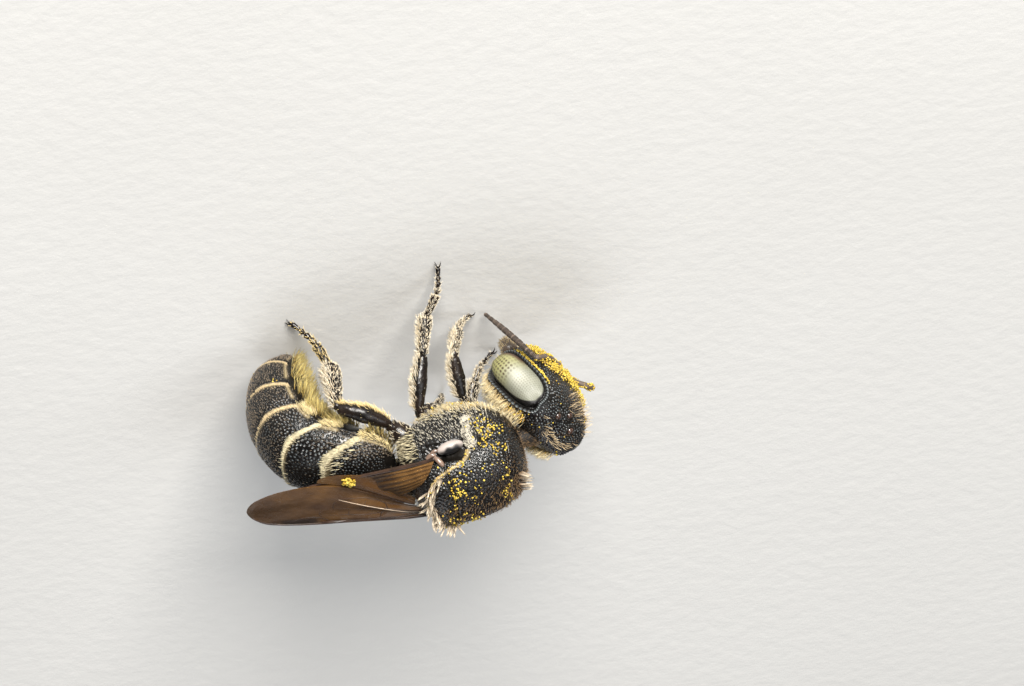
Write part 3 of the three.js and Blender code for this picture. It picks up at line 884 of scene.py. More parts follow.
def mouth(jaw_brown, straw):
    """The two toothed jaws and the hair on their outer halves."""
    rows, count = 60, 28
    share = np.linspace(0, 1, rows)[:, None] + np.zeros((rows, count))
    ridge = 0.010 * np.cos(5 * np.linspace(0, 2 * math.pi, count, endpoint=False))[None]
    jaw_hair = []
    for side, sign in SIDES.items():
        jaw = tube(np.array(MANDIBLE) * [1, sign, 1], MANDIBLE_SIZES, count, rows)
        jaw.raise_by(ridge * (0.2 + 0.8 * share))
        jaw.measure()
        jaw.marks = {"pit": 0 * share, "pale": smooth(share, 0.20, 0.65)}
        placed = jaw.moved(from_head)
        skin_piece(f"jaw_{side}", placed, jaw_brown, f"mandible_{side}")
        roots = plant(placed, 420, 1 - smooth(share, 0.5, 0.8), 131 + sign)
        jaw_hair.append(grow(roots, 0.11, 50, 133 + sign, 0.010))
    coat("hair_jaws", jaw_hair, straw)


def flagellum_sizes():
    """A row of short joints, thickest before the middle, each a little narrower at its ends."""
    sizes = []
    for k in range(FLAGELLUM_JOINTS):
        a, b = k / FLAGELLUM_JOINTS, (k + 1) / FLAGELLUM_JOINTS
        wide = 0.042 + 0.016 * smooth(a, 0.0, 0.30) - 0.024 * smooth(a, 0.5, 1.0)
        sizes += [[a + 0.004, wide * 0.86, wide * 0.86], [a + 0.020, wide, wide],
                  [b - 0.014, wide * 1.03, wide * 1.03], [b - 0.003, wide * 0.88, wide * 0.88]]
    return sizes[:-1] + [[1.0, 0.02, 0.02]]


def feelers(shell, grey):
    """Both feelers; the skins of their long first joints are returned for the pollen on them."""
    skins = {}
    down = []
    run = np.linspace(0, FLAGELLUM_JOINTS, 200)[:, None] + np.zeros((200, 20))
    for side, points in ANTENNAE.items():
        scape = tube(points[:3], SCAPE_SIZES, 20, 60)
        scape.marks = {"pit": np.zeros((60, 20)), "pale": np.full((60, 20), 0.35)}
        skins[side] = scape.moved(from_head)
        skin_piece(f"scape_{side}", skins[side], shell, f"antenna_scape_{side}")
        flagellum = tube(points[2:], flagellum_sizes(), 20, 200)
        # Painted highlights: a pale band on the bulge of each joint.
        bead_highlight = bell(run % 1.0, 0.80, 0.12) * (0.5 + 0.5 * waves(flagellum.points, 0.2, 17))
        flagellum.marks = {"pit": 0 * run, "pale": np.clip(0.10 + 0.9 * bead_highlight, 0, 1)}
        placed = flagellum.moved(from_head)
        skin_piece(f"flagellum_{side}", placed, shell, f"antenna_flagellum_{side}")
        roots = plant(placed, 900, 1.0 + 0 * run, 141 + len(side))
        down.append(grow(roots, 0.035, 62, 143 + len(side), 0.006))
    coat("hair_feelers", down, grey)
    return skins


# ---------------------------------------------------------------- thorax
WING_HINGE = np.array([0.16, 0.95, 3.265])
TEGULA = {"at": np.array([0.43, 0.99, 3.11]), "size": np.array([0.25, 0.13, 0.115]), "tilt": 14.0}
PRONOTAL_LOBE = np.array([0.84, 0.98, 3.02])
# The pale, hairy edge of the back, from above the wing to its rear corner.
SCUTUM_EDGE = [[0.76, 0.97, 3.20], [0.66, 0.93, 3.38], [0.31, 0.85, 3.54], [0.14, 0.77, 3.61],
               [0.0, 0.61, 3.72]]


def thorax_skin():
    """The thorax: its seams, the lobe before the wing, the hollow below the wing, and the pits."""
    places = even_places(THORAX_SECTIONS, 270, (1, 1, 0.5, 0.5, 1))
    top_x, top_z, low_x, low_z, half = rows_at(THORAX_SECTIONS, places).T
    zero = np.zeros_like(half)
    low, high = np.stack([low_x, zero, low_z], 1), np.stack([top_x, zero, top_z], 1)
    skin = Skin(loft(low, high, half, 420, 0.88, 0.5, ring_angles(420)))
    p = skin.points
    x, y, z = p[..., 0], np.abs(p[..., 1]), p[..., 2]
    upper = smooth(z, PLEURA_Z, PLEURA_Z + 0.08)
    shape = -0.050 * bell(x, COLLAR_X, 0.022)
    back_seam = SCUTELLUM_X - 0.10 * smooth(y, 0.35, 0.9)
    shape -= 0.055 * upper * bell(x, back_seam, 0.022)
    shape += 0.030 * upper * bell(x, 0.14, 0.20) * (1 - smooth(y, 0.6, 0.9))
    shape -= 0.070 * smooth(z, 3.2, 3.5) * bell(x, PROPODEUM_X, 0.03)
    joined = np.exp(-((x - PRONOTAL_LOBE[0]) / 0.14) ** 2)
    side_seam = bell(z, PLEURA_Z, 0.020) * smooth(x, PROPODEUM_X, 0) * (1 - smooth(x, 1.3, COLLAR_X))
    shape -= 0.045 * side_seam * (1 - joined)
    shape -= 0.040 * bell(x, PROPODEUM_X, 0.022) * (1 - smooth(z, 3.1, 3.3))
    scutum = upper * smooth(x, 0.45, 0.6) * (1 - smooth(x, 1.25, 1.4))
    shape -= 0.010 * scutum * (bell(y, 0, 0.010) * smooth(x, 0.8, 1.0) + bell(y, 0.47, 0.010))
    hollow = np.exp(-(((x - 0.36) / 0.36) ** 2 + ((z - 3.22) / 0.13) ** 4 + ((y - 0.98) / 0.30) ** 4))
    shape -= 0.13 * hollow
    tall = np.where(z < PRONOTAL_LOBE[2], 0.34, 0.15)
    lobe = np.sqrt(((x - PRONOTAL_LOBE[0]) / 0.17) ** 2 + ((z - PRONOTAL_LOBE[2]) / tall) ** 2)
    shape += 0.055 * smooth(y, 0.6, 0.8) * (1 - smooth(lobe, 0.5, 1.1))
    shape -= 0.02 * smooth(y, 0.6, 0.8) * bell(lobe, 1.2, 0.12)
    shape -= 0.03 * bell(x, 1.18, 0.02) * (1 - smooth(z, 2.7, 2.8))
    skin.raise_by(shape)
    skin.measure()
    rear = 1 - smooth(x, -0.30, -0.14)
    pitted = (1 - smooth(hollow, 0.15, 0.4)) * (1 - 0.30 * smooth(x, COLLAR_X - 0.05, COLLAR_X + 0.05))
    pitted *= (1 - 0.8 * rear * smooth(z, 2.4, 2.6)) * smooth(z, 2.0, 2.2)
    side = 1 - smooth(z, 3.30, 3.72)
    # Pits whose middles show pale hair and a painted highlight, more of both low on the sides.
    pit(skin, 0.052, 0.015 * pitted, seed=21, fleck_and_highlight=0.12 + 0.26 * side)
    skin.side_line = distance_to_line(np.stack([x, y, z], -1), SCUTUM_EDGE)
    skin.marks["pale"] = 0.5 * (1 - smooth(skin.side_line, 0.015, 0.04))
    skin.hollow = hollow
    return skin


# Small hard knobs at the wing root: the line along each of them, and its half width.
SCLERITES = [
    ([[0.27, 0.90, 3.44], [0.20, 0.97, 3.36], [0.12, 1.00, 3.27]], 0.052),
    ([[0.16, 0.99, 3.25], [0.07, 1.00, 3.23], [-0.03, 0.95, 3.27]], 0.045),
    ([[0.20, 1.03, 3.16], [0.13, 1.02, 3.17], [0.06, 0.99, 3.19]], 0.036),
]
# Along each knob: the share of its length, and the share of that half width.
SCLERITE_SHAPE = [[0, 0.35], [0.12, 0.80], [0.35, 1.0], [0.7, 0.90], [0.92, 0.60], [1, 0.25]]
# Which part of the skin each plate takes, told by the middles of its faces.
THORAX_PLATES = {
    "pronotum": lambda c: c[:, 0] > COLLAR_X,
    "scutum": lambda c: (c[:, 0] <= COLLAR_X) & (c[:, 0] > SCUTELLUM_X) & (c[:, 2] > PLEURA_Z),
    "scutellum": lambda c: (c[:, 0] <= SCUTELLUM_X) & (c[:, 0] > PROPODEUM_X) & (c[:, 2] > PLEURA_Z),
    "mesopleuron_left": lambda c: side_plate(c) & (c[:, 1] > 0),
    "mesopleuron_right": lambda c: side_plate(c) & (c[:, 1] <= 0),
    "propodeum": lambda c: c[:, 0] <= PROPODEUM_X,
}


def side_plate(c):
    return (c[:, 0] <= COLLAR_X) & (c[:, 0] > PROPODEUM_X) & (c[:, 2] <= PLEURA_Z)


def thorax_parts(shell):
    """The thorax, cut into its plates, with the neck and the wing roots."""
    skin = thorax_skin()
    for node, keep in THORAX_PLATES.items():
        skin_piece(f"{node}_plate", skin, shell, node, keep)
    neck = tube([[1.44, 0, 2.62], [1.70, -0.02, 2.50], [1.95, -0.03, 2.38]],
                [[0, 0.24, 0.24], [0.5, 0.17, 0.17], [1, 0.24, 0.24]], 32, 24)
    # Painted shade: the whole neck is darkened towards black, like the gap between head and thorax.
    neck.marks = {"pit": 0.8 * np.ones((24, 32)), "pale": np.zeros((24, 32))}
    dull = cuticle("neck_skin", (0.006, 0.005, 0.004), (0.014, 0.010, 0.007), gloss=(0.6, 0.8))
    skin_piece("neck", neck, dull)
    skin.neck = neck
    wing_root_parts()
    return skin


def wing_root_parts():
    """The scale that covers each wing's root, and the small hard knobs beside it."""
    pale_knob = polished("sclerite_shell", (0.085, 0.055, 0.040), 0.32)
    # The tegula's shell: black, with a pale colour that is partly its own paler rim and partly a painted
    # highlight.
    tegula_highlight_material = cuticle("tegula_with_painted_highlight", (0.004, 0.004, 0.0045), (0.010, 0.009, 0.009), (0.27, 0.235, 0.215),
                  (0.30, 0.42))
    for side, sign in SIDES.items():
        at = TEGULA["at"] * [1, sign, 1]
        level = oval([0, 0, 0], TEGULA["size"])
        lower = -level.points[..., 2] / TEGULA["size"][2]
        knob = level.moved(lambda p, at=at: p @ turn("y", TEGULA["tilt"]).T + at)
        # The lower half is paler: partly the tegula's own paler rim, partly a painted highlight.
        knob.marks = {"pale": smooth(lower + 0.15 * waves(knob.points, 0.2, 41), -0.75, -0.25)}
        skin_piece(f"tegula_cap_{side}", knob, tegula_highlight_material, f"tegula_{side}")
        for k, (points, size) in enumerate(SCLERITES):
            sizes = [[share, size * wide, size * wide] for share, wide in SCLERITE_SHAPE]
            piece = tube(np.array(points) * [1, sign, 1], sizes, 24, 30)
            skin_piece(f"wing_sclerite_{k}_{side}", piece, pale_knob)


def oval(at, size, rows=48, count=64):
    """An ellipsoid with its poles above and below."""
    rise = np.linspace(-math.pi / 2, math.pi / 2, rows + 2)[1:-1, None]
    turned = np.linspace(0, 2 * math.pi, count, endpoint=False)[None]
    across = np.cos(rise)
    ring = np.stack([across * np.cos(turned), across * np.sin(turned), np.sin(rise) + 0 * turned], -1)
    return Skin(at + ring * size)


# ---------------------------------------------------------------- abdomen
def abdomen_rings(places, inset, count=440):
    """Rings at places along the abdomen; `places` and `inset` may differ from point to point."""
    angle = ring_angles(count)
    grid = np.broadcast_to(places, (len(places), count)).ravel()
    back_x, back_z, low_x, low_z, half = rows_at(ABDOMEN_SECTIONS, grid).T
    zero = np.zeros_like(half)
    low, high = np.stack([low_x, zero, low_z], 1), np.stack([back_x, zero, back_z], 1)
    inset = np.broadcast_to(inset, (len(places), count)).ravel()
    middle = (low + high) / 2
    tall = np.linalg.norm(high - low, axis=1)
    share = (1 - 2 * inset / np.maximum(tall, 0.1))[:, None]
    low, high = middle + (low - middle) * share, middle + (high - middle) * share
    rings = loft(low, high, half - inset, count, 0.92, 0.46, np.tile(angle, len(places)).reshape(-1, 1))
    return rings.reshape(len(places), count, 3)


# One value for each plate, from the first to the last.
# How far its rear edge comes forward at the sides, in sections of the abdomen.
PLATE_SWEEP = [0.75, 0.42, 0.34, 0.28, 0.20, 0.0]
# The angle round the body at which its side ends and the belly begins, from 0 on the back.
PLATE_SIDE = [1.46, 1.68, 1.82, 1.90, 1.96, 2.05]
# Points round it, the least distance between its pits, and their depth.
PLATE_GRAIN = [(440, 0.055, 0.015), (440, 0.066, 0.018), (420, 0.052, 0.013), (400, 0.044, 0.010),
               (360, 0.042, 0.008), (300, 0.040, 0.007)]
# How brightly its pits' rims shine: a pale colour in each pit, partly pale hair and partly a painted
# highlight.
PLATE_FLECK_HIGHLIGHTS = [0.60, 0.62, 0.50, 0.42, 0.36, 0.34]


def plate_rings(number, angle):
    """The plate's rings of points, its lip's rings, and how far back each ring lies (0 to 1)."""
    start, end = PLATE_EDGES[number], PLATE_EDGES[number + 1]
    count = len(angle)
    side = PLATE_SIDE[number]
    swept = PLATE_SWEEP[number] * smooth(angle, side - 0.9, side + 0.15) ** 1.4
    under = 0.0 if number == 0 else 0.22 + max(swept)
    rows = int(58 * (end - start + under) / (1 if number else 1.6))
    behind = np.linspace(-under / (end - start), 1, rows)[:, None] + 0 * angle
    shift = swept * smooth(behind, -0.2, 1.0)
    places = start + (end - start) * behind - shift
    tucked = 0.045 * (1 - smooth(behind, -0.1, 0.45)) if number else 0 * behind
    rings = abdomen_rings(places, 0.022 + tucked, count)
    if number < len(PLATE_EDGES) - 2:
        lip = [abdomen_rings((end - swept + 0.012 * k)[None], 0.022 + 0.016 * k ** 1.5, count)
               for k in (1, 2, 3)]
    else:
        middle = rings[-1].mean(0)
        tip = (rings[-1] - rings[-8]).mean(0)
        lip = [(middle + (rings[-1] - middle) * math.cos(a) + tip * 1.5 * math.sin(a))[None]
               for a in np.linspace(0.15, 1.5, 10)]
    return rings, lip, behind


def abdomen_plate(number):
    """One ring plate: it starts beneath the plate before it and ends in a thin lip."""
    count, spacing, depth = PLATE_GRAIN[number]
    angle = ring_angles(count)
    angle = np.minimum(angle, 2 * math.pi - angle)        # 0 along the back, pi along the belly
    rings, lip, behind = plate_rings(number, angle)
    skin = Skin(np.concatenate([rings] + lip), tile=((number % 3) / 3, (number // 3) / 2, 0.32))
    # Above 0 on the belly, below it on the back and sides.
    skin.angle = np.broadcast_to(angle, skin.points.shape[:2]) - PLATE_SIDE[number]
    skin.behind = np.concatenate([behind, np.ones((len(lip), count))])
    belly = smooth(skin.angle, 0.0, 0.10)
    shape = -0.024 * bell(skin.angle, 0.0, 0.03) - 0.018 * belly
    if number == 0:
        face = np.exp(-((skin.behind - 0.30) / 0.16) ** 2) * (1 - smooth(skin.angle, -0.8, -0.1))
        shape = shape - 0.05 * face
    skin.raise_by(shape)
    skin.measure()
    clear = 1 - smooth(skin.behind, 0.90, 0.96)
    front = smooth(skin.behind, 0.30, 0.42) if number == 0 else 1.0
    corner = smooth(skin.angle, -0.5, -0.1) * (1 - smooth(skin.behind, 0.15, 0.45))
    # Pits with painted shade in their hollows, and pale hair with a painted highlight at their middles,
    # fainter in the front corners.
    pit(skin, spacing, depth * np.clip(clear * front * (1 - belly), 0.0, 1), seed=31 + number, size=0.5,
        fleck_and_highlight=PLATE_FLECK_HIGHLIGHTS[number] * (1 - 0.9 * corner))
    band = smooth(skin.behind, 0.93, 0.98) * (1 - belly) * (number < 5)
    margin = bell(skin.angle, -0.07, 0.06) * smooth(skin.behind, 0.1, 0.3)
    skin.marks["pale"] = np.clip(0.30 * band + 0.55 * margin, 0, 1)
    return skin


def abdomen_parts(shell):
    """The ring plates, as a list of their skins."""
    plates = []
    for number in range(len(PLATE_EDGES) - 1):
        skin = abdomen_plate(number)
        skin_piece(f"abdomen_plate_{number + 1}", skin, shell, f"abdomen_{number + 1}")
        plates.append(skin)
    return plates


# ---------------------------------------------------------------- wings
# Each side's far point along the leading edge, for a left wing; the right wing is turned out a little.
WING_END = {1: np.array([-2.757, -0.01, 2.963]), -1: np.array([-2.757, 1.06, 2.963])}
# Edges and veins as [distance along the wing, distance behind its leading edge]; each vein has its half
# width behind it.
FORE_EDGES = (
    [[0, 0], [1.2, 0.02], [2.4, 0.0], [3.1, 0.03], [3.5, 0.12], [3.74, 0.29], [3.84, 0.48],
     [3.86, 0.64]],
    [[0.1, 0.20], [0.6, 0.46], [1.3, 0.96], [2.0, 1.27], [2.6, 1.29], [3.2, 1.16], [3.62, 0.97],
     [3.80, 0.80], [3.86, 0.64]],
)
HIND_EDGES = (
    [[0.55, 0.42], [1.0, 0.72], [1.5, 1.02], [2.0, 1.24], [2.36, 1.38]],
    [[0.50, 0.62], [0.9, 1.08], [1.4, 1.47], [1.95, 1.60], [2.28, 1.50], [2.36, 1.38]],
)
LEADING_RIB = (
    [[0.0, 0.03], [1.2, 0.04], [2.0, 0.03], [2.6, 0.02], [3.1, 0.06], [3.55, 0.19], [3.78, 0.38]], 0.034)
# The light crease on the right forewing.
BRIGHT_VEIN = (
    [[0.30, 0.06], [0.62, 0.20], [0.84, 0.30], [1.28, 0.50], [1.72, 0.70], [2.00, 0.84]], 0.010)
FORE_VEINS = [
    LEADING_RIB,
    ([[0.0, 0.10], [0.6, 0.11], [1.2, 0.10], [2.0, 0.08]], 0.018),
    ([[2.3, 0.13], [2.5, 0.27], [2.8, 0.28], [3.15, 0.09]], 0.011),
    ([[1.28, 0.10], [1.22, 0.26], [1.08, 0.44]], 0.011),
    ([[0.10, 0.15], [0.6, 0.28], [1.08, 0.44], [1.5, 0.42], [2.0, 0.52], [2.55, 0.55]], 0.011),
    ([[1.22, 0.26], [1.6, 0.24], [1.95, 0.30], [2.55, 0.29]], 0.009),
    ([[1.88, 0.29], [1.84, 0.48]], 0.008),
    ([[2.42, 0.29], [2.44, 0.42], [2.30, 0.55]], 0.008),
    ([[1.08, 0.44], [1.14, 0.62], [1.45, 0.80], [2.0, 0.86], [2.5, 0.90]], 0.009),
    ([[1.62, 0.44], [1.52, 0.62], [1.45, 0.80]], 0.008),
    ([[2.15, 0.54], [2.12, 0.70], [2.0, 0.86]], 0.008),
    ([[0.10, 0.18], [0.6, 0.40], [1.14, 0.62], [1.3, 0.90]], 0.010),
]
HIND_VEINS = [
    ([[0.55, 0.44], [1.0, 0.74], [1.5, 1.04], [2.0, 1.26]], 0.010),
    ([[0.55, 0.52], [1.0, 0.90], [1.5, 1.22], [1.95, 1.44]], 0.008),
    ([[0.55, 0.56], [0.9, 0.98], [1.3, 1.36]], 0.007),
]
STIGMA = [[1.95, 0.07], [2.2, 0.10], [2.46, 0.07]]
STIGMA_SIZES = [[0, 0.008, 0.01], [0.35, 0.014, 0.055], [0.7, 0.014, 0.050], [1, 0.008, 0.008]]
WING_SKIN = 0.004              # half the membrane's thickness


def wing_frame(sign):
    """Turns [along, behind, above] on a wing into a point of the part's frame."""
    along = unit(WING_END[sign] - WING_HINGE)
    behind = unit(np.array([-along[1], along[0], 0.0]))
    behind = behind if behind[1] < 0 else -behind
    above = np.cross(along, behind)
    above = above if above[2] > 0 else -above
    along = along * (1.0 if sign > 0 else 0.925)

    def place(at):
        at = np.asarray(at, float)
        point = WING_HINGE + at[..., :1] * along + at[..., 1:2] * behind + at[..., 2:3] * above
        return point * [1, sign, 1]
    return place


def wing_height(s, t, sign):
    """The membrane's relief: folds fanning out of the root, a low arch, and the right wing on top."""
    fan = np.arctan2(t, s + 0.15)
    fold = 0.022 * np.sin(23 * fan) * smooth(s, 0.05, 0.3) * (1 - smooth(s, 1.2, 2.4))
    arch = 0.03 * np.sin(np.clip(t / 1.3, 0, 1) * math.pi)
    tip = 0.010 * np.sin(9 * t + 2 * s) * smooth(s, 2.2, 3.2)
    lift = (0.045 if sign < 0 else -0.020) * smooth(s, 0.1, 0.8)
    return fold + arch + tip + lift


def membrane(edges, sign, rows, count, drop):
    lead, trail = (curve(e, rows) for e in edges)
    share = np.linspace(0, 1, count)[None, :, None]
    flat = lead[:, None] * (1 - share) + trail[:, None] * share
    height = wing_height(flat[..., 0], flat[..., 1], sign) - drop
    thick = WING_SKIN * np.sqrt(np.clip(np.sin(math.pi * share[..., 0]), 0.0, 1)) + 0.0004
    upper = np.concatenate([flat, (height + thick)[..., None]], -1)
    lower = np.concatenate([flat, (height - thick)[..., None]], -1)
    skin = Skin(wing_frame(sign)(np.concatenate([upper, lower[:, ::-1]], 1)))
    s, t = (np.concatenate([flat[..., k], flat[:, ::-1, k]], 1) for k in (0, 1))
    cell = smooth(s, 2.45, 2.6) * (1 - smooth(s, 3.1, 3.3)) * (1 - smooth(t, 0.20, 0.30))
    # Painted shade along the folds that fan out of the root, added to the real smokiness of the outer
    # end.
    pleat_shade_and_smoke = smooth(np.sin(23 * np.arctan2(t, s + 0.15) + 0.8), 0.2, 0.9)
    pleat_shade_and_smoke = 0.6 * pleat_shade_and_smoke * (1 - smooth(s, 1.2, 2.2))
    skin.marks["smoke_and_fold_shade"] = np.clip(0.9 * cell + 0.5 * smooth(s, 2.3, 3.4) + pleat_shade_and_smoke, 0, 1)
    return skin


# The pleated skin at the wing's root: where it leaves the thorax's side, and how far along and behind
# the wing's leading edge it runs out on the wing.
FAN_INNER = [[0.13, 0.98, 3.29], [0.08, 0.94, 3.38], [0.01, 0.86, 3.48], [-0.08, 0.74, 3.55],
             [-0.17, 0.58, 3.55]]
FAN_OUTER = [[1.50, 0.04], [1.56, 0.26], [1.56, 0.50], [1.48, 0.76], [1.30, 1.00]]
FAN_PLEATS = 7
FAN_COLUMNS = 50
# The ribs on it: the row of its mesh that each follows, its half width at the root, and the share left
# at its end.
FAN_RIBS = [(1, 0.034, 0.85), (9, 0.013, 0.6)]


def wing_fan(sign):
    columns, rows = FAN_COLUMNS, 130
    inner = curve(FAN_INNER, rows) * [1, sign, 1]
    s, t = curve(FAN_OUTER, rows).T
    outer = wing_frame(sign)(np.stack([s, t, wing_height(s, t, sign) - 0.020], axis=1))
    share = np.linspace(0, 1, columns)[None, :, None] ** 1.2
    flat = inner[:, None] * (1 - share) + outer[:, None] * share
    run = share[..., 0] + np.zeros((rows, 1))
    turned = np.linspace(0, 1, rows)[:, None] + 0.035 * waves(flat, 0.9, 43)
    pleat = np.cos(turned * FAN_PLEATS * 2 * math.pi)
    lift = 0.012 * pleat * np.sin(math.pi * np.minimum(run + 0.15, 1)) + 0.035 * np.sin(math.pi * run)
    lift = lift[..., None] * np.array([0.0, 0.3 * sign, 0.95])
    thick = np.array([0.0, 0.0, WING_SKIN])
    skin = Skin(np.concatenate([flat + lift + thick, (flat + lift - thick)[:, ::-1]], axis=1))
    # Painted shade in the pleats' creases, with the skin darker towards the wing.
    pleat_shade_and_smoke = 0.65 * smooth(-pleat, -0.4, 0.9) * (0.7 + 0.5 * waves(flat, 0.5, 45))
    pleat_shade_and_smoke = np.clip(pleat_shade_and_smoke + 0.5 * smooth(run, 0.3, 0.9), 0, 1)
    skin.marks["smoke_and_fold_shade"] = np.concatenate([pleat_shade_and_smoke, pleat_shade_and_smoke[:, ::-1]], axis=1)
    return skin


def rib(place, sign, line, size, drop):
    """A vein along a line on a wing."""
    flat = curve(line, 60)
    high = wing_height(flat[:, 0], flat[:, 1], sign) - drop
    middle = place(np.concatenate([flat, high[:, None]], 1))
    sizes = [[0, size, size], [0.6, size * 0.8, size * 0.8], [1, size * 0.35, size * 0.35]]
    return tube(middle, sizes, 8, 60)


def stigma_rib(place, sign):
    """The dark thick patch on a forewing's leading edge."""
    flat = curve(STIGMA, 40)
    high = wing_height(flat[:, 0], flat[:, 1], sign)
    middle = place(np.concatenate([flat, high[:, None]], 1))
    return tube(middle, STIGMA_SIZES, 20, 40)


def wing_parts():
    """Both pairs of wings: membranes, veins, and the pleated fan at the left wing's root."""
    film = wing_material("wing_membrane", (0.052, 0.022, 0.006), (0.120, 0.056, 0.014))
    root_film = wing_material("wing_fan", (0.065, 0.031, 0.010), (0.150, 0.078, 0.026))
    dark = vein_material()
    pale = polished("wing_crease", (0.26, 0.20, 0.145), 0.35)
    for side, sign in SIDES.items():
        place = wing_frame(sign)
        extra = []
        if side == "left":
            fan = wing_fan(sign)
            skin_piece("wing_fan_left", fan, root_film)
            for row, size, end in FAN_RIBS:
                sizes = [[0, size, size], [1, size * end, size * end]]
                extra.append(tube(fan.points[row, :FAN_COLUMNS], sizes, 10, 60))
        extra.append(stigma_rib(place, sign))
        for name, edges, veins, drop, more in (("forewing", FORE_EDGES, FORE_VEINS, 0.0, extra),
                                               ("hindwing", HIND_EDGES, HIND_VEINS, 0.02, [])):
            skin = membrane(edges, sign, 100, 38, drop)
            skin_piece(f"{name}_membrane_{side}", skin, film, f"{name}_{side}")
            ribs = [rib(place, sign, line, size, drop) for line, size in veins] + more
            joined_tubes(f"{name}_veins_{side}", ribs, dark)
    joined_tubes("wing_crease_right", [rib(wing_frame(-1), -1, *BRIGHT_VEIN, -0.006)], pale)


def joined_tubes(name, skins, material, node=()):
    """Several tubes, closed at both ends, as one piece."""
    points, faces = [], []
    for skin in skins:
        rows, count = skin.points.shape[:2]
        start = sum(len(p) for p in points)
        ends = [skin.points[:1].mean(1), skin.points[-1:].mean(1)]
        own = np.concatenate([skin.points.reshape(-1, 3)] + ends)
        ring = np.arange(count)
        last = (rows - 1) * count
        caps = [np.stack([0 * ring + rows * count, (ring + 1) % count, ring], 1),
                np.stack([0 * ring + rows * count + 1, last + ring, last + (ring + 1) % count], 1)]
        closed = outward(own, np.concatenate([grid_faces(rows, count)] + caps))
        points.append(own)
        faces.append(closed + start)
    points = np.concatenate(points)
    marks = {"pit": np.zeros(len(points)), "pale": np.zeros(len(points))}
    return build(name, points, np.concatenate(faces), material, marks, node=node)


# ---------------------------------------------------------------- legs
LEG_SEGMENTS = ["coxa", "femur", "tibia", "tarsus"]
LEGS = {
    "front": [
        [[0.92, 0.34, 2.02], [0.76, 0.54, 1.82]],
        [[0.76, 0.54, 1.82], [0.73, 0.84, 1.50], [0.72, 1.10, 1.25]],
        [[0.72, 1.10, 1.25], [0.78, 0.98, 0.90], [0.84, 0.82, 0.56]],
        [[0.84, 0.82, 0.56], [0.92, 0.70, 0.30], [1.10, 0.56, 0.06]],
    ],
    "middle": [
        [[0.32, 0.42, 2.00], [-0.06, 0.70, 2.07]],
        [[-0.06, 0.70, 2.07], [0.04, 1.04, 1.66], [0.17, 1.28, 1.25]],
        [[0.17, 1.28, 1.25], [0.24, 1.48, 0.92], [0.31, 1.64, 0.68]],
        [[0.31, 1.64, 0.68], [0.58, 1.94, 0.36], [0.66, 2.28, 0.06]],
    ],
    "hind": [
        [[-0.30, 0.44, 2.50], [-0.60, 0.70, 2.26]],
        [[-0.60, 0.70, 2.26], [-1.05, 0.98, 2.14], [-1.50, 1.08, 2.00]],
        [[-1.50, 1.08, 2.00], [-1.52, 0.98, 1.45], [-1.55, 0.86, 0.96]],
        [[-1.55, 0.86, 0.96], [-1.80, 0.98, 0.42], [-2.14, 1.11, 0.06]],
    ],
}
RIGHT_FOOT_SHIFT = {"front": (0.30, 0.24), "middle": (-0.30, -0.30), "hind": (-0.16, 0.16)}
# Half sizes along each segment: share, across, deep.
LEG_SIZES = {
    "coxa": [[0, 0.17, 0.16], [0.4, 0.19, 0.18], [0.75, 0.15, 0.15], [0.85, 0.10, 0.10],
             [1, 0.11, 0.11]],
    "femur": [[0, 0.06, 0.06], [0.10, 0.10, 0.09], [0.5, 0.150, 0.13], [0.85, 0.115, 0.105],
              [0.97, 0.09, 0.085], [1, 0.05, 0.05]],
    "tibia": [[0, 0.05, 0.05], [0.06, 0.085, 0.08], [0.3, 0.10, 0.09], [0.8, 0.135, 0.11],
              [0.97, 0.13, 0.11], [1, 0.08, 0.07]],
}
HIND_TIBIA_SIZES = [[0, 0.06, 0.06], [0.07, 0.10, 0.10], [0.35, 0.135, 0.135], [0.8, 0.180, 0.185],
                    [0.96, 0.165, 0.17], [1, 0.09, 0.09]]
LEG_SCALE = {"front": 0.95, "middle": 1.0, "hind": 1.12}


def stepped(segments, shift):
    """The right leg: the mirror image with its foot put down elsewhere."""
    moved = []
    for i, points in enumerate(segments):
        row = []
        for k, (x, y, z) in enumerate(points):
            share = ((i + k / (len(points) - 1)) / len(segments)) ** 2
            row.append([x + shift[0] * share, -(y + shift[1] * share), z])
        moved.append(row)
    return moved


def tarsus_sizes(scale):
    """A long first joint, three short ones and a longer last one."""
    joints = [(0.0, 0.46, 0.078), (0.46, 0.60, 0.056), (0.60, 0.72, 0.052), (0.72, 0.82, 0.048),
              (0.82, 1.0, 0.044)]
    sizes = []
    for start, end, wide in joints:
        wide *= scale
        sizes += [[start + 0.004, wide * 0.45, wide * 0.45], [start + 0.03, wide * 0.8, wide * 0.7],
                  [end - 0.03, wide * 1.1, wide * 0.9], [end - 0.002, wide * 0.6, wide * 0.6]]
    return sizes


def claws(toe, ahead, side):
    """A pair of curved claws in front of the last joint."""
    hooks = []
    for sign in (-1, 1):
        out = unit(ahead + 0.55 * sign * side)
        bend, tip = out * 0.06 + [0, 0, 0.015], out * 0.115 + [0, 0, -0.035]
        points = [toe - ahead * 0.02, toe + bend, toe + tip]
        hooks.append(tube(points, [[0, 0.018, 0.018], [0.6, 0.012, 0.012], [1, 0.003, 0.003]], 8, 14))
    return hooks


def leg_sizes(leg, kind):
    """The half sizes along one segment of a leg: share, across, deep."""
    scale = LEG_SCALE[leg]
    if kind == "tarsus":
        return tarsus_sizes(scale)
    if kind == "tibia" and leg == "hind":
        return HIND_TIBIA_SIZES
    return [[share, across * scale, deep * scale] for share, across, deep in LEG_SIZES[kind]]


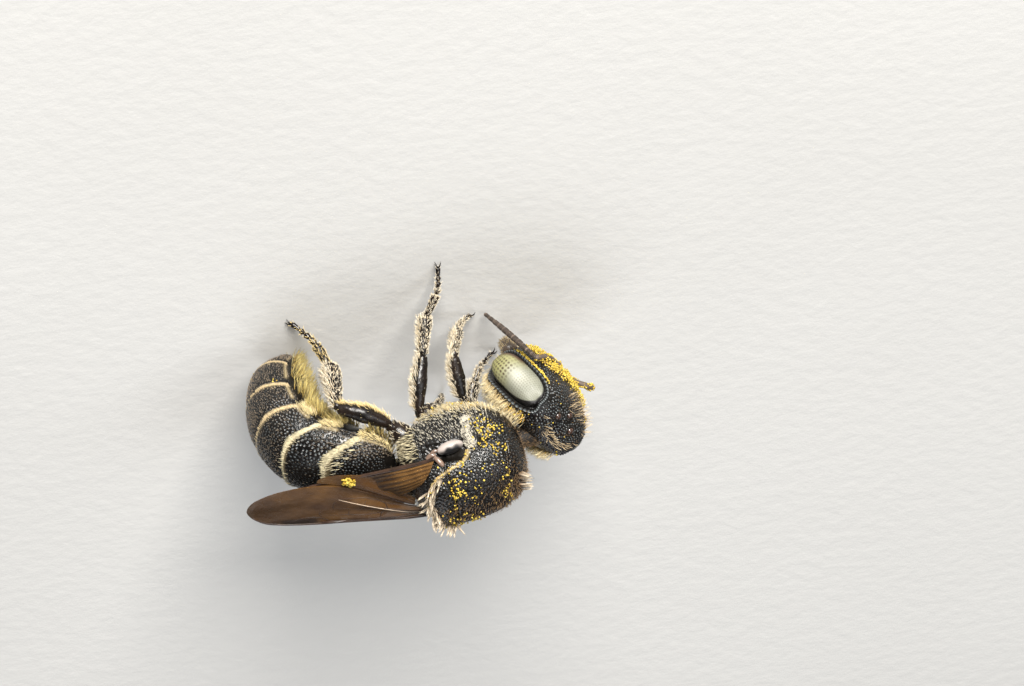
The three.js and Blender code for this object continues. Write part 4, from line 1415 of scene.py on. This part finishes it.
def end_parts(kind, points):
    """What stands at a segment's end: a spur on the tibia, and claws on the tarsus."""
    line = curve(points, 20)
    ahead = unit(line[-1] - line[-4])
    if kind == "tarsus":
        level = unit(ahead * [1, 1, 0.2])
        return claws(line[-1], level, unit(np.cross(level, [0, 0, 1.0])))
    if kind == "tibia":
        root, tip = line[-2], line[-1] + ahead * 0.10 + unit(np.cross(ahead, [0, 0, 1.0])) * 0.06
        return [tube([root, (root + tip) / 2, tip], [[0, 0.016, 0.016], [1, 0.003, 0.003]], 8, 12)]
    return []


def leg_parts(shell):
    """The six legs, as a dictionary of their segments' skins."""
    skins = {}
    for leg, left in LEGS.items():
        for side in SIDES:
            segments = left if side == "left" else stepped(left, RIGHT_FOOT_SHIFT[leg])
            for kind, points in zip(LEG_SEGMENTS, segments):
                number = len(skins)
                rows = 110 if kind == "tarsus" else 60
                skin = tube(points, leg_sizes(leg, kind), 24, rows, side=(0.3, 0.2, 1))
                skin.tile = ((number % 5) / 5, (number // 5) / 5, 0.19)
                skin.raise_by(0.004 * waves(skin.points, 0.16, number))
                skin.measure()
                skin.marks = {"pit": np.zeros((rows, 24)), "pale": np.zeros((rows, 24))}
                node = f"{leg}_{kind}_{side}"
                skins[node] = skin
                joined_tubes(f"{node}_shell", [skin] + end_parts(kind, points), shell, node)
    return skins


# ---------------------------------------------------------------- coats
# The row of tufts across the top of the head, in the head's own frame, from its middle to one side.
CROWN_TUFTS = [[-0.41, 0.0, 0.91], [-0.39, 0.16, 0.90], [-0.32, 0.38, 0.88], [-0.16, 0.50, 0.84]]


def head_zones(skin):
    """How densely hair or pollen grows in each zone of the head."""
    p = skin.local
    x, y, z = p[..., 0], np.abs(p[..., 1]), p[..., 2]
    left, reach = p[..., 1], skin.reach
    open_skin = smooth(reach, 1.10, 1.2)
    outer = smooth(y, 0.5, 0.8)
    front = smooth(skin.facing, 0.25, 0.6)
    frons = front * smooth(z, 0.46, 0.60) * (1 - smooth(z, 0.84, 0.91)) * open_skin
    crown = 1 - smooth(distance_to_line(np.stack([x, y, z], -1), CROWN_TUFTS), 0.03, 0.09)
    gena = smooth(-skin.facing, 0.20, 0.65) * smooth(y, 0.40, 0.60) * (1 - smooth(z, 0.50, 0.75))
    low = 0.13 * smooth(-z, 0.0, 0.45)
    cheek = outer * (1 - smooth(x, -0.44, -0.34)) * smooth(z, -0.2, 0.3) * (1 - smooth(z, 0.6, 0.8))
    orbit = bell(reach, 1.22, 0.035) * smooth(x, 0.05, 0.2) * smooth(z, -0.7, -0.4)
    return {
        "frons": frons * (1 - smooth(left, 0.1, 0.4)),
        "crown": crown * (1 - 0.85 * smooth(left, 0.15, 0.35)),
        "top": smooth(z, 0.2, 0.5) * open_skin,
        "gena": gena * smooth(z, -1.0, -0.9) * smooth(reach, 1.22 - low, 1.28 - low),
        "cheek": cheek * smooth(reach, 1.32, 1.42),
        "lower": smooth(x, 0.35, 0.5) * (1 - smooth(z, 0.25, 0.45)) * open_skin,
        "orbit": orbit * (1 - smooth(z, 0.45, 0.65)),
        "beard": (1 - smooth(z, -0.95, -0.75)) * (1 - smooth(x, 0.45, 0.6)),
    }


def head_coats(skin, hair, scapes):
    """Grows the head's coat, and returns the pollen that lies on the head and the feelers."""
    zone = head_zones(skin)
    down, ahead, back = (HEAD_AXES @ way for way in ([0.2, 0, -1.0], [1.0, 0, 0.25], [-1.0, 0, 0.1]))
    coat("hair_head_back", [
        hairs(skin, zone["gena"], 1250, 107, 0.25, 26,
              width=0.011, bend=0.5, scatter=0.24, flow=back, steps=3, clump=0.09, gather=0.45,
              dust=0.12),
        hairs(skin, zone["cheek"], 150, 109, 0.12, 62,
              width=0.012, bend=0.5, scatter=0.25, flow=back, steps=3, dust=0.8),
    ], hair["cream"])
    coat("hair_head_top", [
        hairs(skin, zone["frons"], 120, 101, 0.19, 6,
              width=0.009, bend=0.4, scatter=0.14, flow=ahead, steps=3),
        hairs(skin, zone["crown"], 60, 103, 0.20, 12,
              width=0.012, bend=0.8, scatter=0.14, flow=ahead, steps=3, clump=0.07, gather=0.35),
    ], hair["tan"])
    short = hairs(skin, zone["top"], 420, 105, 0.050, 30, width=0.007, bend=0.3, scatter=0.3)
    coat("hair_head_short", [short], hair["brown"])
    coat("hair_face", [
        hairs(skin, zone["lower"], 700, 111, 0.09, 45,
              width=0.010, bend=0.6, scatter=0.28, flow=down, steps=3, dust=0.4),
        hairs(skin, zone["beard"], 600, 115, 0.18, 30,
              width=0.012, bend=0.5, scatter=0.25, flow=down, steps=3, clump=0.08, gather=0.4),
    ], hair["golden"])
    patchy = smooth(waves(skin.local, 0.20, 7), -0.6, 0.3)
    rough = smooth(waves(skin.local, 0.22, 9), 0.2, 0.7)
    specks = [
        pollen_on(skin, 2300, zone["lower"] * (0.16 + 0.84 * patchy), 117, 0.0145, 0.080),
        pollen_on(skin, 420, zone["orbit"], 119, 0.0135, 0.02),
        pollen_on(skin, 26, zone["top"] * rough, 121, 0.017, 0.02),
        pollen_on(skin, 70, zone["cheek"], 123, 0.016, 0.03),
    ]
    for k, scape in enumerate(scapes.values()):
        specks.append(pollen_on(scape, 90, np.ones(scape.points.shape[:2]), 125 + k, 0.015, 0.015))
    return specks


def pollen_on(skin, count, weight, seed, size, height):
    """Pollen grains sitting on a skin, up to `height` above it."""
    roots = plant(skin, count, weight, seed)
    rng = np.random.default_rng(seed + 1)
    up = rng.uniform(0.2, 1.0, (count, 1)) * height
    sizes = size * rng.uniform(0.5, 1.45, count)
    return roots.points + roots.normal * up, sizes


# Where the tall hairs stand along the scutellum's rear edge, from the left side over to the right.
SCUTELLUM_FRINGE = [[0.16, 0.69, 3.62], [0.05, 0.60, 3.68], [-0.03, 0.44, 3.76], [-0.06, 0.20, 3.82],
                    [-0.01, 0.0, 3.86], [0.06, -0.22, 3.86], [0.18, -0.40, 3.82], [0.32, -0.55, 3.76]]
# On each side: the tufts above the collar, and the white patch on the lobe before the wing.
COLLAR_TUFTS = [[1.62, 0.0, 3.44], [1.62, 0.12, 3.43], [1.60, 0.24, 3.40]]
LOBE_PATCH = [[0.84, 0.97, 3.14], [0.78, 0.98, 2.90], [0.79, 0.98, 2.58]]


def thorax_zones(skin):
    """How densely hair or pollen grows in each zone of the thorax."""
    p = skin.points
    x, y, z = p[..., 0], np.abs(p[..., 1]), p[..., 2]
    folded = np.stack([x, y, z], -1)
    upper = smooth(z, PLEURA_Z, PLEURA_Z + 0.1)
    back = upper * (1 - smooth(skin.hollow, 0.2, 0.5)) * smooth(x, 0.0, 0.1)
    side = (1 - smooth(z, 2.92, 3.0)) * smooth(x, -0.3, -0.1) * (1 - smooth(x, 1.1, 1.3))
    low = (1 - smooth(z, 2.20, 2.36)) * smooth(x, -0.2, 0.0) * (1 - smooth(x, 1.2, 1.4))
    corner = np.exp(-(((x - 1.12) / 0.20) ** 2 + ((z - 2.92) / 0.32) ** 2)) * smooth(y, 0.5, 0.7)
    cloudy = smooth(waves(p, 0.24, 31), -0.1, 0.6)
    return {
        "back": back,
        "middle": back * (1 - smooth(y, 0.15, 0.5)),
        "brow": upper * smooth(x, 0.95, 1.30) * (1 - smooth(x, 1.56, 1.64)),
        "collar": smooth(x, COLLAR_X, COLLAR_X + 0.08),
        "side_line": 1 - smooth(skin.side_line, 0.012, 0.034),
        "edge": 1 - smooth(distance_to_line(p, SCUTELLUM_FRINGE), 0.03, 0.10),
        "front": 1 - smooth(distance_to_line(folded, COLLAR_TUFTS), 0.03, 0.07),
        "patch": 1 - smooth(distance_to_line(folded, LOBE_PATCH), 0.04, 0.115),
        "side": side * smooth(y, 0.3, 0.6),
        "low": low * smooth(y, 0.25, 0.6),
        "flank": (1 - smooth(x, -0.2, -0.1)) * smooth(y, 0.30, 0.55) * bell(z, 2.85, 0.34),
        "breast": (1 - smooth(z, 2.3, 2.6)) * smooth(x, -0.1, 0.1),
        "dusty_back": back * (0.25 + cloudy) * bell(x, 0.52, 0.32) * bell(y, 0.46, 0.36),
        "dusty_rim": bell(x, 1.36, 0.08) * upper * smooth(waves(p, 0.2, 33), -0.2, 0.5),
        "dusty_corner": corner * smooth(waves(p, 0.2, 35), -0.5, 0.4),
    }


def thorax_coats(skin, hair):
    """Grows the thorax's coat, and returns the pollen that lies on the thorax."""
    zone = thorax_zones(skin)
    on_neck = np.ones(skin.neck.points.shape[:2])
    coat("hair_thorax_short", [
        hairs(skin, zone["back"], 700, 201, 0.050, 28,
              width=0.0065, bend=0.3, scatter=0.25),
        hairs(skin, zone["brow"], 420, 231, 0.080, 22,
              width=0.008, bend=0.5, scatter=0.20, steps=3),
        hairs(skin, zone["collar"], 900, 241, 0.075, 50,
              width=0.008, bend=0.5, scatter=0.25, flow=(-1.0, 0, 0.3)),
        hairs(skin, zone["middle"], 300, 233, 0.10, 22,
              width=0.009, bend=0.5, scatter=0.20, steps=3),
        hairs(skin.neck, on_neck, 700, 237, 0.09, 50,
              width=0.010, bend=0.5, scatter=0.3),
    ], hair["brown"])
    rear = bunches(plant(skin, 900, zone["edge"], 205), 0.080, 9, 0.012, 209)
    ahead = bunches(plant(skin, 200, zone["front"], 207), 0.085, 8, 0.011, 210)
    coat("hair_thorax_back", [
        grow(rear, 0.29, 24, 206, width=0.015, bend=0.35, scatter=0.10, flow=(-0.35, 0, 1.0), steps=3,
             clump=0.05, gather=0.85),
        hairs(skin, zone["edge"], 260, 235, 0.15, 30,
              width=0.010, bend=0.4, scatter=0.25, flow=(-0.3, 0, 1.0), steps=3),
        grow(ahead, 0.27, 30, 208, width=0.013, bend=0.3, scatter=0.12, flow=(1.0, 0, 0.6), steps=3,
             clump=0.05, gather=0.9),
    ], hair["blush"])
    line = hairs(skin, zone["side_line"], 900, 203, 0.050, 58,
                 width=0.010, bend=0.7, scatter=0.18, dust=0.25)
    coat("hair_side_line", [line], hair["golden"])
    coat("hair_thorax_sides", [
        hairs(skin, zone["patch"], 1550, 211, 0.085, 62,
              width=0.012, bend=0.6, scatter=0.20, flow=(-0.35, 0, -1)),
        hairs(skin, zone["side"], 2350, 213, 0.072, 46,
              width=0.0105, bend=1.0, scatter=0.20, flow=(-0.6, 0, -1.0)),
    ], hair["white"])
    coat("hair_thorax_below", [
        hairs(skin, zone["low"], 1500, 215, 0.15, 46,
              width=0.0125, bend=0.7, scatter=0.22, flow=(-0.45, 0, -1.0), steps=3, clump=0.06,
              gather=0.4, dust=0.10),
        hairs(skin, zone["flank"], 450, 217, 0.14, 40,
              width=0.012, bend=0.6, scatter=0.25, flow=(-1.0, 0, 0.1), steps=3),
        hairs(skin, zone["breast"], 900, 219, 0.12, 50,
              width=0.012, bend=0.6, scatter=0.25),
    ], hair["cream"])
    return [
        pollen_on(skin, 190, zone["dusty_back"], 221, 0.0155, 0.03),
        pollen_on(skin, 60, zone["dusty_rim"], 223, 0.016, 0.03),
        pollen_on(skin, 220, zone["dusty_corner"], 225, 0.0165, 0.04),
        pollen_on(skin, 60, zone["low"] + 0.3 * zone["patch"], 227, 0.016, 0.08),
        pollen_on(skin, 22, zone["edge"], 229, 0.016, 0.10),
    ]


# One value for each plate that has a band of hair on its rear edge.
# The band: how many hairs, how long they are, and where on the plate it starts.
BAND_HAIRS = [1300, 1300, 1300, 1200, 1000]
BAND_LENGTH = [0.15, 0.12, 0.09, 0.08, 0.07]
BAND_START = [0.90, 0.895, 0.91, 0.925, 0.925]
# Longer, sparser hairs that lie over the plate in front of its band: how many, and how long.
LONG_HAIRS = [(260, 0.17), (240, 0.14), (240, 0.10), (240, 0.09), (180, 0.08)]
# Hairs low on the sides of the first two plates: how many, and where along each plate they fade out.
FLANK_HAIRS = [500, 260]
FLANK_END = [(0.80, 0.90), (0.35, 0.60)]
# One value for each plate: its short hairs and how long they are, and the pollen brush below it.
SHORT_HAIRS = [(150, 0.05), (250, 0.05), (1300, 0.055), (2000, 0.06), (2200, 0.065), (1500, 0.07)]
SCOPA_HAIRS = [400, 700, 760, 700, 560, 300]


def band_coat(number, skin, material):
    """The band of hair along the rear edge of one plate."""
    upper = 1 - smooth(skin.angle, -0.06, 0.04)
    low = smooth(skin.angle, -1.3, -0.5)
    start = BAND_START[number] + 0.05 * (1 - low)
    end = 1 - smooth(skin.behind, 0.985, 1.0)
    band = smooth(skin.behind, start, start + 0.05) * end * upper
    roots = plant(skin, BAND_HAIRS[number], band * (0.40 + 0.60 * low), 301 + number)
    side_share = smooth(np.abs(roots.points[:, 1]), 0.15, 0.75)
    size = BAND_LENGTH[number] * (0.5 + 0.5 * side_share)
    lying = {"bend": 0.10, "scatter": 0.06, "steps": 3}
    fringe = grow(roots, size, 76, 311 + number, width=0.0135, **lying)
    count, length = LONG_HAIRS[number]
    sparse = smooth(skin.behind, start - 0.16, start) * end * upper * (0.15 + 0.85 * low)
    roots = plant(skin, count, sparse, 391 + number)
    over = grow(roots, length, 76, 396 + number, width=0.0115, **lying)
    coat(f"hair_band_{number + 1}", [fringe, over], material)


def short_tufts(number, skin):
    """The short hairs on the back of one plate, and those on the sides of the first two."""
    upper = 1 - smooth(skin.angle, -0.05, 0.1)
    count, size = SHORT_HAIRS[number]
    inner = upper * (1 - smooth(skin.behind, 0.88, 0.95)) * smooth(skin.behind, 0.0, 0.2)
    roots = plant(skin, count, inner, 321 + number)
    tufts = [grow(roots, size, 66, 331 + number, width=0.0075, bend=0.3, scatter=0.16)]
    if number < len(FLANK_HAIRS):
        flank = smooth(skin.angle, -0.9, -0.2) * upper * (1 - smooth(skin.behind, *FLANK_END[number]))
        roots = plant(skin, FLANK_HAIRS[number], flank, 326 + number)
        tufts.append(grow(roots, 0.085, 66, 336 + number, width=0.009, bend=0.3, scatter=0.16))
    return tufts


def scopa_tuft(number, skin):
    """The long hairs below one plate, which carry the pollen."""
    belly = smooth(skin.angle, 0.06, 0.4) * smooth(skin.behind, 0.0, 0.2)
    roots = plant(skin, SCOPA_HAIRS[number], belly, 341 + number)
    size = np.random.default_rng(381 + number).uniform(0.14, 0.50, SCOPA_HAIRS[number])
    return grow(roots, size, 34, 351 + number, width=0.013, bend=0.5, scatter=0.34, steps=3, clump=0.13,
                gather=0.45, dust=0.10)


def side_tuft(number, skin):
    """The golden hairs along the lower edge of one plate."""
    flank = bell(skin.angle, 0.14, 0.12) * smooth(skin.behind, 0.05, 0.3)
    roots = plant(skin, 420, flank, 371 + number)
    return grow(roots, 0.17, 62, 375 + number, width=0.011, bend=0.5, scatter=0.18, steps=3)


def abdomen_coats(plates, hair):
    """Grows the abdomen's coat, and returns the pollen that lies on it."""
    for number, skin in enumerate(plates[:5]):
        band_coat(number, skin, hair["cream"] if number < 2 else hair["straw"])
    short = [tuft for number, skin in enumerate(plates) for tuft in short_tufts(number, skin)]
    coat("hair_abdomen_short", short, hair["grey"])
    brush = [scopa_tuft(number, skin) for number, skin in enumerate(plates)]
    coat("hair_scopa", brush, hair["amber"])
    sides = [side_tuft(number, skin) for number, skin in enumerate(plates[:3])]
    coat("hair_abdomen_sides", sides, hair["golden"])
    return [pollen_on(plates[4], 26, 1 - smooth(plates[4].angle, -0.3, 0.0), 361, 0.014, 0.01)]


# The way that the fringe on each leg's femur points out, on the left side.
FRINGE_SIDE = {"front": [-1.0, 0.1, -0.3], "middle": [-1.0, 0.1, -0.3], "hind": [0.25, 0.30, -1.0]}
# Hairs on each leg segment: how many, whether only along the rear edge, their lengths and widths.
LEG_HAIRS = {
    "coxa": [(160, 0, 0.09, 0.012)],
    "femur": [(60, 0, 0.045, 0.008), (420, 1, 0.15, 0.0135)],
    "tibia": [(800, 0, 0.068, 0.012), (220, 1, 0.14, 0.013)],
    "tarsus": [(380, 0, 0.080, 0.011)],
}


def segment_tufts(skin, leg, kind, side):
    """The hairs on one segment of a leg: all round it, and in a fringe along its rear edge."""
    way = FRINGE_SIDE[leg] if kind == "femur" else FRINGE_SIDE["front"]
    rear = smooth(skin.normal @ unit(np.array(way) * [1, SIDES[side], 1]), 0.15, 0.75)
    share = np.linspace(0, 1, len(skin.points))[:, None] + 0 * rear
    upper = 1 - 0.8 * smooth(share, 0.5, 0.9) if kind == "tarsus" else 1 + 0 * rear
    seed = 400 + 7 * LEG_SEGMENTS.index(kind) + (50 if side == "left" else 90)
    more = 1.6 if leg == "hind" and kind == "tibia" else 1.0
    return [hairs(skin, rear if behind else upper, int(count * more), seed + 2 * k, length,
                  45 if behind else 62, width=width, bend=0.5, scatter=0.2, steps=3, dust=0.1)
            for k, (count, behind, length, width) in enumerate(LEG_HAIRS[kind])]


def leg_coats(skins, hair):
    for leg in LEGS:
        tufts = {"white": [], "golden": []}
        for side in SIDES:
            for kind in LEG_SEGMENTS:
                warm = leg == "hind" and kind in ("femur", "tarsus")
                skin = skins[f"{leg}_{kind}_{side}"]
                tufts["golden" if warm else "white"] += segment_tufts(skin, leg, kind, side)
        coat(f"hair_{leg}_legs", tufts["white"], hair["white"])
        if tufts["golden"]:
            coat(f"hair_{leg}_fringes", tufts["golden"], hair["golden"])


# Single grains on the left wing, as [distance along the wing, distance behind its leading edge].
LOOSE_GRAINS = [[0.9, 0.5], [1.4, 0.35], [0.5, 0.2], [2.6, 0.2], [1.9, 0.6], [1.2, 0.75], [2.9, 0.5]]


def pollen_on_wing():
    """A clump of grains on the left wing's leading edge, and a few single ones behind it."""
    place = wing_frame(1)
    rng = np.random.default_rng(501)
    clump = np.clip(rng.normal(size=(120, 3)), -1.7, 1.7) * [0.055, 0.075, 0.045]
    clump = clump + [1.74, 0.05, 0.06]
    clump[:, 2] = np.abs(clump[:, 2])
    loose = np.array(LOOSE_GRAINS)
    high = wing_height(loose[:, 0], loose[:, 1], 1) + 0.015
    loose = np.concatenate([loose, high[:, None]], 1)
    clump_sizes = 0.024 * rng.uniform(0.6, 1.2, 120)
    return [(place(clump), clump_sizes), (place(loose), np.full(len(loose), 0.017))]


def pollen_piece(specks):
    """All the pollen as one piece."""
    spots = np.concatenate([points for points, _ in specks])
    sizes = np.concatenate([size for _, size in specks])
    points, faces, marks = grains(spots, sizes, 503)
    build("pollen_grains", points, faces, pollen_material(), marks)


# ---------------------------------------------------------------- floor, light and camera
VIEW_RISE = 33.0               # the camera's height above the horizon, in degrees
VIEW_ROLL = 172.0              # the picture hangs upside down, as the bee does
VIEW_AIM = np.array([1.801, 1.172, 1.187])
VIEW_DISTANCE = 150.0
VIEW_WIDTH = 18.618            # what the picture's width takes in at the aim point
SENSOR = 36.0


def camera():
    rise = math.radians(VIEW_RISE)
    toward = Vector((0, math.cos(rise), math.sin(rise)))
    data = bpy.data.cameras.new("camera")
    data.sensor_width = SENSOR
    data.lens = SENSOR * VIEW_DISTANCE / VIEW_WIDTH
    data.clip_start = 0.01
    data.clip_end = 20
    eye = bpy.data.objects.new("camera", data)
    bpy.context.scene.collection.objects.link(eye)
    right = Vector((-1, 0, 0))
    up = toward.cross(right)
    roll = Matrix.Rotation(math.radians(VIEW_ROLL), 3, toward)
    axes = Matrix([roll @ right, roll @ up, toward]).transposed()
    place = (Vector(VIEW_AIM) + toward * VIEW_DISTANCE) * MM
    eye.matrix_world = Matrix.Translation(place) @ axes.to_4x4()
    bpy.context.scene.camera = eye


def lamp(name, rise, turned, distance, size, power, color=(1, 1, 1)):
    """A square soft light that faces the bee; `turned` goes from the bee's left towards its head."""
    a, b = math.radians(rise), math.radians(turned)
    way = Vector((math.cos(a) * math.sin(b), math.cos(a) * math.cos(b), math.sin(a)))
    data = bpy.data.lights.new(name, "AREA")
    data.shape = "SQUARE"
    data.size = size * MM
    data.energy = power
    data.color = color
    light = bpy.data.objects.new(name, data)
    bpy.context.scene.collection.objects.link(light)
    light.location = (way * distance + Vector((0, 0, 2))) * MM
    light.rotation_euler = way.to_track_quat("Z", "Y").to_euler()


def stage_set():
    s = Shader("floor_paint")
    tone = s.blend(s.span(s.noise(0.05), 0.3, 0.7), (0.52, 0.51, 0.49), (0.56, 0.55, 0.53))
    paint = s.finish(Base_Color=tone, Roughness=0.7, Normal=s.bumps(s.noise(3.0), 0.01))
    bpy.ops.mesh.primitive_plane_add(size=3.0, location=(0, 0, 0))
    floor = bpy.context.object
    floor.name = "floor"
    floor.data.materials.append(paint)
    world = bpy.data.worlds.new("studio")
    world.use_nodes = True
    sky = world.node_tree.nodes["Background"]
    sky.inputs["Color"].default_value = (0.80, 0.86, 0.95, 1)
    sky.inputs["Strength"].default_value = 0.12
    bpy.context.scene.world = world
    bpy.context.scene.view_settings.view_transform = "Standard"
    lamp("key", 15, 10, 160, 70, 0.92, (1.0, 0.97, 0.92))
    lamp("fill", 52, 60, 190, 110, 0.14, (0.92, 0.96, 1.0))
    lamp("back", 50, 205, 190, 120, 0.16, (0.95, 0.97, 1.0))


# ---------------------------------------------------------------- the bee
def make_bee():
    shell = cuticle("black_shell", (0.0030, 0.0027, 0.0024), (0.0075, 0.0062, 0.0050))
    leg_shell = cuticle("leg_shell", (0.0035, 0.0028, 0.0024), (0.011, 0.007, 0.005),
                        gloss=(0.18, 0.32), leather=90.0, grain=0.0008)
    jaw_brown = cuticle("jaw_shell", (0.030, 0.023, 0.018), (0.075, 0.055, 0.040),
                        (0.30, 0.24, 0.17), (0.25, 0.42))
    feeler = cuticle("feeler_shell", (0.012, 0.010, 0.009), (0.040, 0.030, 0.024),
                     (0.16, 0.120, 0.095), (0.35, 0.55))
    hair = {
        "cream": hair_material("cream_hair", (0.17, 0.125, 0.060), (0.72, 0.64, 0.42)),
        "white": hair_material("white_hair", (0.20, 0.17, 0.12), (0.72, 0.67, 0.55)),
        "straw": hair_material("straw_hair", (0.16, 0.11, 0.055), (0.60, 0.47, 0.27)),
        "golden": hair_material("golden_hair", (0.26, 0.18, 0.07), (0.78, 0.64, 0.33)),
        "amber": hair_material("amber_hair", (0.11, 0.080, 0.030), (0.47, 0.40, 0.15)),
        "brown": hair_material("brown_hair", (0.035, 0.020, 0.009), (0.22, 0.13, 0.055)),
        "tan": hair_material("tan_hair", (0.13, 0.075, 0.035), (0.62, 0.48, 0.29)),
        "blush": hair_material("blush_hair", (0.17, 0.10, 0.05), (0.66, 0.56, 0.42)),
        "grey": hair_material("grey_hair", (0.075, 0.055, 0.037), (0.36, 0.275, 0.185)),
    }
    head = head_parts(shell)
    compound_eyes()
    mouth(jaw_brown, hair["straw"])
    scapes = feelers(feeler, hair["grey"])
    thorax = thorax_parts(shell)
    plates = abdomen_parts(shell)
    wing_parts()
    legs = leg_parts(leg_shell)
    specks = head_coats(head, hair, scapes) + thorax_coats(thorax, hair) + abdomen_coats(plates, hair)
    leg_coats(legs, hair)
    pollen_piece(specks + pollen_on_wing())


make_bee()
stage_set()
camera()
